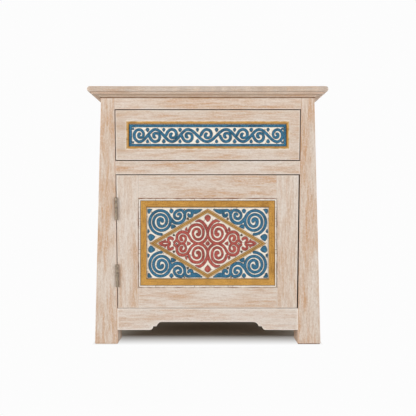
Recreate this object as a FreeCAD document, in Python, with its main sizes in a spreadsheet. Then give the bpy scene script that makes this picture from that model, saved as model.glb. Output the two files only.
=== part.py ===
import FreeCAD, Part
import Sketcher
import math
import os
import re

# Painted nightstand: a tapered frame cabinet with a drawer, a hinged door and a moulded top.
# Millimetres. +X is to the right as one faces the door, +Y to the back, +Z up.
# The origin is on the floor under the middle of the top board.

SIZES = {
    # Outside of the cabinet
    "height": 601.5,
    "body_width_top": 500,
    "body_width_foot": 529,
    "body_depth": 380,
    # Top board
    "slab_thickness": 13.5,
    "slab_nose_share": 0.46,
    "slab_corner": 5,
    "overhang": 27,
    "side_overhang": 29,
    "rear_overhang": 8,
    # Cornice under the top board
    "cornice_height": 10,
    "cornice_projection": 20,
    "cornice_fillet": 3.5,
    "cornice_step": 6,
    "cornice_foot": 2,
    "cove_roundness": 0.8,
    # Legs
    "leg_width_top": 31,
    "leg_width_foot": 54,
    "front_leg_depth": 75,
    "rear_leg_depth": 50,
    "leg_arris": 3,
    "foot_chamfer": 2,
    # Front and back rails
    "foot_clear": 33.5,
    "apron_height": 50.5,
    "middle_rail_height": 31.5,
    "drawer_opening": 121,
    "top_rail_height": 37.5,
    "rail_thickness": 22,
    "tenon_length": 20,
    "tenon_thickness": 9,
    "tenon_shoulder": 6,
    # Cut-out under the apron
    "arch_width": 270,
    "arch_rise": 18.8,
    "arch_lip_run": 7.5,
    "arch_lip_rise": 8.7,
    "arch_step": 8,
    "arch_cove_run": 12.5,
    # Side frames and panels
    "side_rail_thickness": 20,
    "side_top_rail_height": 45,
    "side_bottom_rail_height": 60,
    "side_panel_thickness": 9,
    "side_panel_setback": 6,
    "groove_depth": 8,
    "groove_wall": 2,
    # Back
    "back_panel_thickness": 6,
    "back_rebate": 9,
    "back_panel_rise": 12,
    "nail_radius": 0.9,
    "nail_head_radius": 2.2,
    "nail_head_thickness": 0.8,
    "nail_length": 16,
    "nail_pitch": 100,
    # Boards inside
    "floor_thickness": 15,
    "floor_groove": 6,
    "dust_thickness": 5,
    "dust_lift": 8,
    "dust_groove": 6,
    "runner_width": 26,
    "kicker_width": 22,
    "kicker_height": 20,
    "kicker_gap": 1.5,
    "running_clearance": 0.3,
    "block_length": 40,
    "block_width": 22,
    "block_height": 22,
    "block_inset": 20,
    "top_screw_length": 30,
    "stop_length": 220,
    "stop_thickness": 9,
    "stop_drop": 10,
    # Drawer
    "drawer_gap": 2,
    "drawer_front_thickness": 20,
    "drawer_margin_side": 24,
    "drawer_margin_end": 26,
    "drawer_recess": 6,
    "drawer_carved_thickness": 3.5,
    "drawer_bead_width": 6,
    "drawer_bead_proud": 0.8,
    "drawer_side_thickness": 12,
    "drawer_side_height": 105,
    "drawer_joint": 6,
    "drawer_bottom_thickness": 5,
    "drawer_bottom_lift": 8,
    "drawer_bottom_groove": 5,
    # Door
    "door_gap": 2,
    "door_free_gap": 3,
    "door_low_gap": 1.2,
    "door_thickness": 20,
    "door_stile_width": 47.5,
    "door_top_rail": 55,
    "door_bottom_rail": 47.8,
    "door_tenon_length": 28,
    "panel_thickness": 9,
    "panel_recess": 6,
    "bead_width": 4.6,
    "bead_recess": 1.5,
    "gilt_stile": 14,
    "gilt_rail": 16,
    "gilt_thickness": 3.5,
    "lozenge_band": 7.6,
    "lozenge_gap_side": 7,
    "lozenge_gap_end": 2,
    "lozenge_drop": 1.2,
    # Hinges
    "hinge_length": 52.5,
    "hinge_drop": 78.5,
    "hinge_rise": 75.8,
    "leaf_thickness": 1.6,
    "leaf_width": 20,
    "leaf_space": 0.4,
    "knuckle_radius": 3.3,
    "knuckle_gap": 0.3,
    "knuckle_clear": 0.5,
    "pin_radius": 1.4,
    "pin_clearance": 0.05,
    "pin_end": 0.8,
    "leaf_screw_pitch": 17,
    "leaf_screw_depth": 12.5,
    # Screws
    "screw_radius": 1.5,
    "screw_head_radius": 2.8,
    "screw_length": 15,
    # Touch latches
    "latch_length": 38,
    "latch_width": 14,
    "latch_height": 16,
    "latch_axis": 9,
    "latch_flange_width": 34,
    "latch_flange_length": 12,
    "latch_flange_thickness": 3,
    "latch_contact": 0.3,
    "plunger_radius": 3,
    "plunger_clearance": 0.08,
    "plunger_length": 24,
    "plunger_reach": 3,
    "plunger_room": 6,
    "strike_radius": 6,
    "strike_thickness": 1.2,
}

SAME_PLACE = 1e-4
KNUCKLES = 5
FRAME_KNUCKLES = (0, 2, 4)
DOOR_KNUCKLES = (1, 3)
NAILS_EACH_RAIL = 4
SIDES = {"left": -1, "right": 1}

doc = FreeCAD.newDocument("Nightstand")
sheet = doc.addObject("Spreadsheet::Sheet", "Sizes")
for row, (alias, size) in enumerate(SIZES.items(), start=1):
    sheet.set(f"A{row}", alias)
    sheet.set(f"B{row}", str(size))
    sheet.setAlias(f"B{row}", alias)
doc.recompute()

nodes = []


# Formulas: every size's name in one stands for its cell in the sheet

def bound(formula):
    """The formula with each size's name pointing at its cell."""
    return re.sub(r"[a-z_]+", lambda word: f"Sizes.{word[0]}" if word[0] in SIZES else word[0], formula)


def value(formula):
    """What the formula comes to, in millimetres."""
    return float(sheet.evalExpression(bound(formula)))


def plus(*terms):
    """The sum of some formulas, as one formula."""
    return "(" + " + ".join(f"({term})" for term in terms) + ")"


def minus(first, *rest):
    """The first formula less the others, as one formula."""
    return "(" + " - ".join(f"({term})" for term in (first, *rest)) + ")"


# Heights, from the floor up
SLAB_UNDER = "(height - slab_thickness)"
CORNICE_LOW = minus(SLAB_UNDER, "cornice_height")
TOP_RAIL_LOW = minus(SLAB_UNDER, "top_rail_height")
MIDDLE_RAIL_TOP = minus(TOP_RAIL_LOW, "drawer_opening")
MIDDLE_RAIL_LOW = minus(MIDDLE_RAIL_TOP, "middle_rail_height")
APRON_TOP = "(foot_clear + apron_height)"
ARCH_TOP = "(foot_clear + arch_rise)"
SIDE_RAIL_TOP = "(foot_clear + side_bottom_rail_height)"
SIDE_TOP_RAIL_LOW = minus(SLAB_UNDER, "side_top_rail_height")
DRAWER_LOW = plus(MIDDLE_RAIL_TOP, "drawer_gap")
DRAWER_HIGH = minus(TOP_RAIL_LOW, "drawer_gap")
DRAWER_SIDE_TOP = plus(DRAWER_LOW, "drawer_side_height")
DOOR_LOW = plus(APRON_TOP, "door_low_gap")
DOOR_HIGH = minus(MIDDLE_RAIL_LOW, "door_gap")
PANEL_LOW = plus(DOOR_LOW, "door_bottom_rail")
PANEL_HIGH = minus(DOOR_HIGH, "door_top_rail")

# Depths: the face of the front frame, the back of the legs, and what lies between
FRONT = "((overhang - body_depth - rear_overhang) / 2)"
BACK = plus(FRONT, "body_depth")
RAIL_BACK = plus(FRONT, "rail_thickness")
SIDE_START = plus(FRONT, "front_leg_depth")
SIDE_END = minus(BACK, "rear_leg_depth")
BACK_RAIL_REAR = minus(BACK, "back_panel_thickness")
BACK_RAIL_FACE = minus(BACK_RAIL_REAR, "rail_thickness")
LATCH_SPAN = "(plunger_reach + latch_length - latch_flange_length / 2)"
DRAWER_BACK = minus(BACK_RAIL_REAR, "rail_thickness / 2", LATCH_SPAN, "latch_contact")
HINGE_STAND = "(knuckle_radius + knuckle_clear)"

# Half widths: the legs lean outwards, and widen inwards, towards the floor
HALF_TOP = "(body_width_top / 2)"
INNER_FOOT = "(body_width_foot / 2 - leg_width_foot)"
INNER_TOP = "(body_width_top / 2 - leg_width_top)"
INNER_LEAN = f"(({INNER_TOP} - {INNER_FOOT}) / {SLAB_UNDER})"
LEAN_ANGLE = f"atan({INNER_LEAN})"


def outer(level):
    """Half the width across the outside of the legs at a level."""
    return f"(body_width_foot / 2 - (body_width_foot - body_width_top) / 2 * ({level}) / {SLAB_UNDER})"


def inner(level):
    """Half the width between the legs at a level."""
    return f"({INNER_FOOT} + {INNER_LEAN} * ({level}))"


PANEL_HALF = minus(inner(DOOR_LOW), "door_gap", "door_stile_width")
DRAWER_HALF = minus(inner(DRAWER_LOW), "drawer_gap")


# Building blocks

def keep(item, label):
    """Give a finished piece its name."""
    item.Label = label
    nodes.append(item)
    return item


def new_body(name):
    return doc.addObject("PartDesign::Body", name)


def origin_plane(body, role):
    return next(plane for plane in body.Origin.OriginFeatures if plane.Role == role)


def add_segment(sketch, start, end, bend):
    """A line, or an arc of radius bend[0] that turns left (1) or right (-1); returns its end numbers."""
    if not bend:
        sketch.addGeometry(Part.LineSegment(start, end), False)
        return 1, 2
    radius, turn = value(bend[0]), bend[1]
    chord = end - start
    left = FreeCAD.Vector(-chord.y, chord.x, 0).normalize()
    centre = (start + end) * 0.5 + left * (turn * math.sqrt(radius ** 2 - chord.Length ** 2 / 4))
    angles = [math.atan2(point.y - centre.y, point.x - centre.x) for point in (start, end)]
    circle = Part.Circle(centre, FreeCAD.Vector(0, 0, 1), radius)
    sketch.addGeometry(Part.ArcOfCircle(circle, *angles[::turn]), False)
    return (1, 2)[::turn]


def outline(body, role, corners, offset="0"):
    """A closed sketch; a corner is (across, up) or (across, up, (radius, turn)) for an arc to the next."""
    sketch = body.newObject("Sketcher::SketchObject", "Outline")
    sketch.AttachmentSupport = [(origin_plane(body, role), "")]
    sketch.MapMode = "FlatFace"
    sketch.setExpression("AttachmentOffset.Base.z", bound(offset))
    points = [FreeCAD.Vector(value(corner[0]), value(corner[1]), 0) for corner in corners]
    ends = []
    for number, corner in enumerate(corners):
        following = points[(number + 1) % len(points)]
        ends.append(add_segment(sketch, points[number], following, corner[2] if len(corner) > 2 else None))
    for number, corner in enumerate(corners):
        after = (number + 1) % len(corners)
        joint = Sketcher.Constraint("Coincident", number, ends[number][1], after, ends[after][0])
        sketch.addConstraint(joint)
        held = [("DistanceX", points[number].x, corner[0]), ("DistanceY", points[number].y, corner[1])]
        for kind, distance, formula in held:
            hold = Sketcher.Constraint(kind, -1, 1, number, ends[number][0], distance)
            sketch.setExpression(f"Constraints[{sketch.addConstraint(hold)}]", bound(formula))
        if len(corner) > 2:
            hold = Sketcher.Constraint("Radius", number, value(corner[2][0]))
            sketch.setExpression(f"Constraints[{sketch.addConstraint(hold)}]", bound(corner[2][0]))
    return sketch


def front_pad(body, corners, start, depth):
    """An outline seen from the front (x, z), running back from y = start."""
    pad = body.newObject("PartDesign::Pad", "Pad")
    pad.Profile = outline(body, "XZ_Plane", corners, f"-({start})")
    pad.Reversed = True
    pad.setExpression("Length", bound(depth))
    return pad


def prism(name, corners, start, end):
    """A body of one outline seen from the front, from y = start to y = end."""
    body = new_body(name)
    front_pad(body, corners, start, minus(end, start))
    return body


def quad(reach, low, high):
    """A level strip of wood seen from the front, half as long as reach(level)."""
    return [(f"-{reach(low)}", low), (reach(low), low), (reach(high), high), (f"-{reach(high)}", high)]


def wall(side, low, high, near, far):
    """A strip seen from the front that follows the lean of a side, from near to far inside its face."""
    levels = ((low, near), (low, far), (high, far), (high, near))
    return [(f"{side} * {minus(outer(level), inset)}", level) for level, inset in levels]


def place(item, x, y, z):
    for axis, formula in zip("xyz", (x, y, z)):
        item.setExpression(f"Placement.Base.{axis}", bound(formula))
    return item


def turned(item, axis, degrees):
    item.Placement = FreeCAD.Placement(FreeCAD.Vector(), FreeCAD.Rotation(FreeCAD.Vector(*axis), degrees))
    return item


def box(name, x, y, z):
    """A square board; x, y and z each give the places of its two faces."""
    board = doc.addObject("Part::Box", name)
    for length, (low, high) in zip(("Length", "Width", "Height"), (x, y, z)):
        board.setExpression(length, bound(minus(high, low)))
    return place(board, x[0], y[0], z[0])


def rod(name, radius, length):
    """A cylinder up the Z axis from the origin."""
    cylinder = doc.addObject("Part::Cylinder", name)
    cylinder.setExpression("Radius", bound(radius))
    cylinder.setExpression("Height", bound(length))
    return cylinder


def rod_along_y(name, radius, start, end, x, z):
    return place(turned(rod(name, radius, minus(end, start)), (1, 0, 0), -90), x, start, z)


def fuse(name, items):
    union = doc.addObject("Part::MultiFuse", name)
    union.Shapes = items
    return union


def group(name, items):
    """Separate solids that share a name."""
    compound = doc.addObject("Part::Compound", name)
    compound.Links = items
    return compound


def cut(name, blank, tools):
    """The blank with room cut in it for each of the tools."""
    for tool in tools:
        step = doc.addObject("Part::Cut", name + "_cut")
        step.Base = blank
        step.Tool = tool
        blank = step
    return blank


def edges(feature, wanted):
    return [f"Edge{number}" for number, edge in enumerate(feature.Shape.Edges, start=1) if wanted(edge)]


def dress(body, kind, size_name, size, wanted):
    """Round or chamfer the wanted edges of a body's last feature."""
    doc.recompute()
    base = body.Tip
    feature = body.newObject(f"PartDesign::{kind}", kind)
    feature.Base = (base, edges(base, wanted))
    feature.setExpression(size_name, bound(size))


def near(first, second):
    return abs(first - second) < SAME_PLACE


def screw(name, length):
    """A countersunk screw: the flat of its head at the origin, its point along +Z."""
    head = doc.addObject("Part::Cone", name + "_head")
    head.setExpression("Radius1", bound("screw_head_radius"))
    head.setExpression("Radius2", bound("screw_radius"))
    head.setExpression("Height", bound("screw_head_radius - screw_radius"))
    return fuse(name, [head, rod(name + "_shank", "screw_radius", length)])


# Carcass frame

def leg_blank(name, side, start, depth):
    corners = wall(side, "0", SLAB_UNDER, "0", "leg_width_foot")
    corners[2] = (f"{side} * {INNER_TOP}", SLAB_UNDER)
    return prism(name, corners, start, plus(start, depth))


def dress_foot(body):
    """Chamfer the edges of the sole."""
    dress(body, "Chamfer", "Size", "foot_chamfer",
          lambda edge: all(near(vertex.Z, 0) for vertex in edge.Vertexes))


def front_leg_blank(name, side):
    body = leg_blank(name, side, FRONT, "front_leg_depth")
    front, foot, top = value(FRONT), value(outer("0")), value(HALF_TOP)
    splay = (foot - top) / value(SLAB_UNDER)

    def outer_arris(edge):
        at_front = all(near(vertex.Y, front) for vertex in edge.Vertexes)
        return at_front and all(near(abs(vertex.X), foot - splay * vertex.Z) for vertex in edge.Vertexes)

    dress(body, "Fillet", "Radius", "leg_arris", outer_arris)
    dress_foot(body)
    return body


def rear_leg_blank(name, side):
    body = leg_blank(name, side, SIDE_END, "rear_leg_depth")
    dress_foot(body)
    return body


def add_tenons(body, reach, low, high, start, thickness, length, shoulder):
    """A thinner strip through the middle of a rail, which stands out at both ends."""
    tenon_start = plus(start, f"({thickness} - tenon_thickness) / 2")
    strip = quad(lambda level: plus(reach(level), length), plus(low, shoulder), minus(high, shoulder))
    front_pad(body, strip, tenon_start, "tenon_thickness")


def cross_rail(name, low, high, start):
    """A rail from leg to leg, tenoned into both."""
    body = prism(name, quad(inner, low, high), start, plus(start, "rail_thickness"))
    add_tenons(body, inner, low, high, start, "rail_thickness", "tenon_length", "tenon_shoulder")
    return body


def arc_between(run, rise):
    return f"cove_roundness * sqrt(({run}) ^ 2 + ({rise}) ^ 2)"


def apron_blank():
    """The bottom front rail, with a bracket-footed arch cut in its lower edge."""
    lip = "(arch_width / 2 - arch_lip_run)"
    cove = minus(lip, "arch_step")
    flat = minus(cove, "arch_cove_run")
    step_level = "(foot_clear + arch_lip_rise)"
    cove_arc = arc_between("arch_cove_run", "arch_rise - arch_lip_rise")
    lip_arc = arc_between("arch_lip_run", "arch_lip_rise")
    body = prism("apron_blank", [
        (f"-{inner('foot_clear')}", "foot_clear"),
        ("-arch_width / 2", "foot_clear", (lip_arc, 1)),
        (f"-{lip}", step_level),
        (f"-{cove}", step_level, (cove_arc, -1)),
        (f"-{flat}", ARCH_TOP),
        (flat, ARCH_TOP, (cove_arc, -1)),
        (cove, step_level),
        (lip, step_level, (lip_arc, 1)),
        ("arch_width / 2", "foot_clear"),
        (inner("foot_clear"), "foot_clear"),
        (inner(APRON_TOP), APRON_TOP),
        (f"-{inner(APRON_TOP)}", APRON_TOP),
    ], FRONT, RAIL_BACK)
    add_tenons(body, inner, ARCH_TOP, APRON_TOP, FRONT, "rail_thickness", "tenon_length", "tenon_shoulder")
    return body


def side_rail_blank(name, side, low, high):
    """A rail from front leg to rear leg in the lean of the side, tenoned into both."""
    body = prism(name, wall(side, low, high, "0", "side_rail_thickness"), SIDE_START, SIDE_END)
    cheek = "(side_rail_thickness - tenon_thickness) / 2"
    shoulder = "groove_depth + groove_wall"
    strip = wall(side, plus(low, shoulder), minus(high, shoulder), cheek, plus(cheek, "tenon_thickness"))
    length = plus(minus(SIDE_END, SIDE_START), "2 * tenon_length")
    front_pad(body, strip, minus(SIDE_START, "tenon_length"), length)
    return body


def side_panel(side):
    low = minus(SIDE_RAIL_TOP, "groove_depth")
    high = plus(SIDE_TOP_RAIL_LOW, "groove_depth")
    faces = wall(side, low, high, "side_panel_setback", "side_panel_setback + side_panel_thickness")
    return prism("side_panel", faces, minus(SIDE_START, "groove_depth"), plus(SIDE_END, "groove_depth"))


def back_panel_blank():
    low = "(foot_clear + back_panel_rise)"
    return prism("back_panel_blank", quad(lambda level: plus(inner(level), "back_rebate"), low, SLAB_UNDER),
                 BACK_RAIL_REAR, BACK)


def back_nails():
    """Rows of nails through the back panel into the three back rails."""
    rows = [f"({TOP_RAIL_LOW} + top_rail_height / 2)", f"({MIDDLE_RAIL_LOW} + middle_rail_height / 2)",
            "(foot_clear + side_bottom_rail_height / 2)"]
    nails = []
    for level in rows:
        for number in range(NAILS_EACH_RAIL):
            x = f"({number} - ({NAILS_EACH_RAIL} - 1) / 2) * nail_pitch"
            shank = rod_along_y("shank", "nail_radius", minus(BACK, "nail_length"), BACK, x, level)
            head_back = plus(BACK, "nail_head_thickness")
            head = rod_along_y("head", "nail_head_radius", BACK, head_back, x, level)
            nails.append(fuse("nail", [shank, head]))
    return group("nails", nails)


# Top board and cornice

def top_board():
    body = new_body("top_board_blank")
    half = plus(HALF_TOP, "side_overhang")
    near_edge, far_edge = minus(FRONT, "overhang"), plus(BACK, "rear_overhang")
    corners = [(f"-{half}", near_edge), (half, near_edge), (half, far_edge), (f"-{half}", far_edge)]
    pad = body.newObject("PartDesign::Pad", "Pad")
    pad.Profile = outline(body, "XY_Plane", corners, SLAB_UNDER)
    pad.setExpression("Length", bound("slab_thickness"))
    front, back = value(near_edge), value(far_edge)
    levels = (value(SLAB_UNDER), value("height"))

    def front_corner(edge):
        at_front = all(near(vertex.Y, front) for vertex in edge.Vertexes)
        return at_front and near(edge.Length, levels[1] - levels[0])

    def nose(edge):
        flat = any(all(near(vertex.Z, level) for vertex in edge.Vertexes) for level in levels)
        return flat and not all(near(vertex.Y, back) for vertex in edge.Vertexes)

    dress(body, "Fillet", "Radius", "slab_corner", front_corner)
    dress(body, "Fillet", "Radius", "slab_thickness * slab_nose_share", nose)
    return body


def cornice_profile(across):
    """The moulding's section; across(projection) gives the place of a point so far out from the cabinet."""
    step_level = minus(SLAB_UNDER, "cornice_fillet")
    cove_top = "cornice_projection - cornice_step"
    cove_run = minus(cove_top, "cornice_foot")
    cove = arc_between(cove_run, "cornice_height - cornice_fillet")
    return [
        (across("0"), CORNICE_LOW),
        (across("cornice_foot"), CORNICE_LOW, (cove, 1)),
        (across(cove_top), step_level),
        (across("cornice_projection"), step_level),
        (across("cornice_projection"), SLAB_UNDER),
        (across("0"), SLAB_UNDER),
    ]


def mitre(body, corners):
    """Cut a strip's end away to an outline seen from above."""
    pocket = body.newObject("PartDesign::Pocket", "Mitre")
    pocket.Profile = outline(body, "XY_Plane", corners)
    pocket.Reversed = True
    pocket.setExpression("Length", bound("height"))


def mitre_corner(side, along_front):
    """The triangle past the 45 degree line at a front corner, for the front strip or for the side strip."""
    far = "2 * cornice_projection"
    far_x, far_y = plus(HALF_TOP, far), minus(FRONT, far)
    third = (f"{side} * {far_x}", FRONT) if along_front else (f"{side} * {HALF_TOP}", far_y)
    return [(f"{side} * {HALF_TOP}", FRONT), (f"{side} * {far_x}", far_y), third]


def cornice_front():
    body = new_body("cornice_front")
    pad = body.newObject("PartDesign::Pad", "Pad")
    pad.Profile = outline(body, "YZ_Plane", cornice_profile(lambda out: minus(FRONT, out)))
    pad.Midplane = True
    pad.setExpression("Length", bound(f"2 * ({HALF_TOP} + cornice_projection)"))
    for side in SIDES.values():
        mitre(body, mitre_corner(side, True))
    return body


def cornice_side_blank(side):
    profile = cornice_profile(lambda out: f"{side} * {plus(HALF_TOP, out)}")
    if side > 0:
        profile = [(*corner[:2], (corner[2][0], -1)) if len(corner) > 2 else corner for corner in profile]
    body = prism("cornice_side_blank", profile, minus(FRONT, "cornice_projection"), BACK)
    mitre(body, mitre_corner(side, False))
    return body


# Boards, runners and blocks inside

def floor_blank():
    half = f"({outer(APRON_TOP)} - side_rail_thickness + floor_groove)"
    return box("floor_blank", (f"-{half}", half),
               (minus(RAIL_BACK, "floor_groove"), plus(BACK_RAIL_FACE, "floor_groove")),
               (minus(APRON_TOP, "floor_thickness"), APRON_TOP))


def dust_panel():
    half = f"({inner(MIDDLE_RAIL_LOW)} - runner_width + dust_groove)"
    low = plus(MIDDLE_RAIL_LOW, "dust_lift")
    return box("dust_panel", (f"-{half}", half), (RAIL_BACK, BACK_RAIL_FACE),
               (low, plus(low, "dust_thickness")))


def leg_strip(name, side, low, high, width):
    """A square strip against the inner faces of the two legs of a side."""
    edge = f"{side} * {minus(inner(low), width)}"
    corners = [(f"{side} * {inner(low)}", low), (edge, low),
               (edge, high), (f"{side} * {inner(high)}", high)]
    return prism(name, corners, RAIL_BACK, BACK_RAIL_FACE)


def block_starts():
    """Where the corner blocks of a side begin, front and rear."""
    return plus(SIDE_START, "block_inset"), minus(SIDE_END, "block_inset", "block_length")


def top_blocks():
    low = minus(SLAB_UNDER, "block_height")
    blocks = []
    for side in SIDES.values():
        faces = wall(side, low, SLAB_UNDER, "side_rail_thickness", "side_rail_thickness + block_width")
        blocks += [prism("block", faces, start, plus(start, "block_length")) for start in block_starts()]
    return group("top_blocks_blank", blocks)


def top_screws():
    """One screw up through each corner block into the top board."""
    x = minus(HALF_TOP, "side_rail_thickness", "block_width / 2")
    screws = []
    for side in SIDES.values():
        for start in block_starts():
            item = screw("top_screw", "top_screw_length")
            screws.append(place(item, f"{side} * {x}", plus(start, "block_length / 2"),
                                minus(SLAB_UNDER, "block_height")))
    return group("top_screws", screws)


def door_stop():
    """A strip behind the middle rail, under the dust panel, that hangs down behind the door."""
    return box("door_stop", ("-stop_length / 2", "stop_length / 2"),
               (RAIL_BACK, plus(RAIL_BACK, "stop_thickness")),
               (minus(MIDDLE_RAIL_LOW, "stop_drop"), plus(MIDDLE_RAIL_LOW, "dust_lift")))


# Touch latches, made about a plunger tip at the origin that points to -Y, on a seat at z = 0

def latch(name, seat):
    """The housing, plunger and screws of one latch, each put in its place by seat."""
    rear = "(plunger_reach + latch_length)"
    case = box(name + "_case", ("-latch_width / 2", "latch_width / 2"), ("plunger_reach", rear),
               ("0", "latch_height"))
    flange = box(name + "_flange", ("-latch_flange_width / 2", "latch_flange_width / 2"),
                 (minus(rear, "latch_flange_length"), rear), ("0", "latch_flange_thickness"))
    bore = rod_along_y(name + "_bore", "plunger_radius + plunger_clearance", "0",
                       "plunger_length + plunger_room", "0", "latch_axis")
    plunger = rod_along_y(name + "_pin", "plunger_radius", "0", "plunger_length", "0", "latch_axis")
    pair = []
    for side in SIDES.values():
        item = turned(screw(name + "_screw", "screw_length"), (1, 0, 0), 180)
        x = f"{side} * (latch_width + latch_flange_width) / 4"
        pair.append(place(item, x, minus(rear, "latch_flange_length / 2"), "latch_flange_thickness"))
    screws = seat(group(name + "_screws", pair))
    shell = seat(cut(name + "_shell", fuse(name + "_solid", [case, flange]), [bore]))
    return {"housing": cut(name + "_housing", shell, [screws]),
            "plunger": seat(group(name + "_plunger", [plunger])), "screws": screws}


def seat_drawer_latch(item):
    """On the back middle rail, with its plunger against the back of the drawer."""
    return place(item, "0", plus(DRAWER_BACK, "latch_contact"), MIDDLE_RAIL_TOP)


LATCH_LEVEL = f"(({DOOR_LOW} + {DOOR_HIGH}) / 2)"
DOOR_REAR = plus(FRONT, "door_thickness")


def seat_door_latch(item):
    """On the inner face of the right front leg, with its plunger against the door's strike plate."""
    turned(item, (0, 1, 0), -90)
    item.setExpression("Placement.Rotation.Angle", bound(f"{LEAN_ANGLE} - 90 deg"))
    return place(item, inner(LATCH_LEVEL), plus(DOOR_REAR, "strike_thickness + latch_contact"), LATCH_LEVEL)


def strike_plate():
    x = minus(inner(LATCH_LEVEL), f"latch_axis * cos({LEAN_ANGLE})")
    z = plus(LATCH_LEVEL, f"latch_axis * sin({LEAN_ANGLE})")
    return rod_along_y("strike", "strike_radius", DOOR_REAR, plus(DOOR_REAR, "strike_thickness"), x, z)


# Butt hinges, made about a pin on the local Z axis; the frame's leaf is on the -X side

def leaf_span(side):
    span = ["leaf_space / 2", "leaf_space / 2 + leaf_thickness"]
    return span if side > 0 else [f"-({face})" for face in reversed(span)]


def hinge_leaf(name, side, knuckles):
    pieces = [box("plate", leaf_span(side), (HINGE_STAND, "leaf_width"),
                  ("-hinge_length / 2", "hinge_length / 2"))]
    for number in knuckles:
        low = f"({number} / {KNUCKLES} - 1 / 2) * hinge_length + knuckle_gap / 2"
        high = f"({number + 1} / {KNUCKLES} - 1 / 2) * hinge_length - knuckle_gap / 2"
        pieces.append(box("web", leaf_span(side), ("0", HINGE_STAND), (low, high)))
        pieces.append(place(rod("knuckle", "knuckle_radius", minus(high, low)), "0", "0", low))
    bore = rod("bore", "pin_radius + pin_clearance", "hinge_length")
    place(bore, "0", "0", "-hinge_length / 2")
    return cut(name + "_bored", fuse(name + "_solid", pieces), [bore])


def leaf_screws(side):
    """Three screws through a leaf, with their heads flush in its face."""
    screws = []
    for number in (-1, 0, 1):
        item = turned(screw("leaf_screw", "screw_length"), (0, 1, 0), 90 * side)
        level = f"{number} * leaf_screw_pitch"
        screws.append(place(item, f"{side} * leaf_space / 2", "leaf_screw_depth", level))
    return group("leaf_screws", screws)


def hinge_pin():
    pin = rod("pin", "pin_radius", "hinge_length + 2 * pin_end")
    return group("hinge_pin", [place(pin, "0", "0", "-hinge_length / 2 - pin_end")])


def seat_hinge(item, level):
    """At the left leg's inner edge, in front of the face, along the lean of that edge."""
    turned(item, (0, 1, 0), -1)
    item.setExpression("Placement.Rotation.Angle", bound(f"-{LEAN_ANGLE}"))
    return place(item, f"-({inner(level)} - door_gap / 2)", minus(FRONT, HINGE_STAND), level)


def hinge(name, level):
    """The seated pieces of one hinge."""
    pieces = {"pin": seat_hinge(hinge_pin(), level)}
    for owner, side, knuckles in (("frame", -1, FRAME_KNUCKLES), ("door", 1, DOOR_KNUCKLES)):
        leaf_name = f"{name}_{owner}_leaf"
        screws = seat_hinge(leaf_screws(side), level)
        leaf = seat_hinge(hinge_leaf(leaf_name, side, knuckles), level)
        pieces[owner + "_screws"] = screws
        pieces[owner + "_leaf"] = cut(leaf_name, leaf, [screws])
    return pieces


# Mitred trim

def strip_frame(name, half, low, high, side_width, end_width, start, end):
    """Four mitred strips round a rectangle, seen from the front."""
    outside = [(f"-({half})", low), (half, low), (half, high), (f"-({half})", high)]
    inside_half = minus(half, side_width)
    inside_low, inside_high = plus(low, end_width), minus(high, end_width)
    inside = [(f"-{inside_half}", inside_low), (inside_half, inside_low),
              (inside_half, inside_high), (f"-{inside_half}", inside_high)]
    return ring_of_strips(name, outside, inside, start, end)


def ring_of_strips(name, outside, inside, start, end):
    strips = []
    for number in range(len(outside)):
        after = (number + 1) % len(outside)
        corners = [outside[number], outside[after], inside[after], inside[number]]
        strips.append(prism("strip", corners, start, end))
    return group(name, strips)


def lozenge(start, end):
    """Four strips in a diamond a little below the middle of the gilt border."""
    half = minus(PANEL_HALF, "bead_width", "gilt_stile", "lozenge_gap_side")
    rise = f"(({PANEL_HIGH} - {PANEL_LOW}) / 2 - bead_width - gilt_rail - lozenge_gap_end)"
    middle = f"(({PANEL_HIGH} + {PANEL_LOW}) / 2 - lozenge_drop)"
    share = f"(1 - lozenge_band * sqrt({half} ^ 2 + {rise} ^ 2) / ({half} * {rise}))"

    def diamond(scale):
        return [(f"-{half} * {scale}", middle), ("0", f"{middle} - {rise} * {scale}"),
                (f"{half} * {scale}", middle), ("0", f"{middle} + {rise} * {scale}")]

    return ring_of_strips("lozenge", diamond("1"), diamond(share), start, end)


# Drawer

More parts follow.
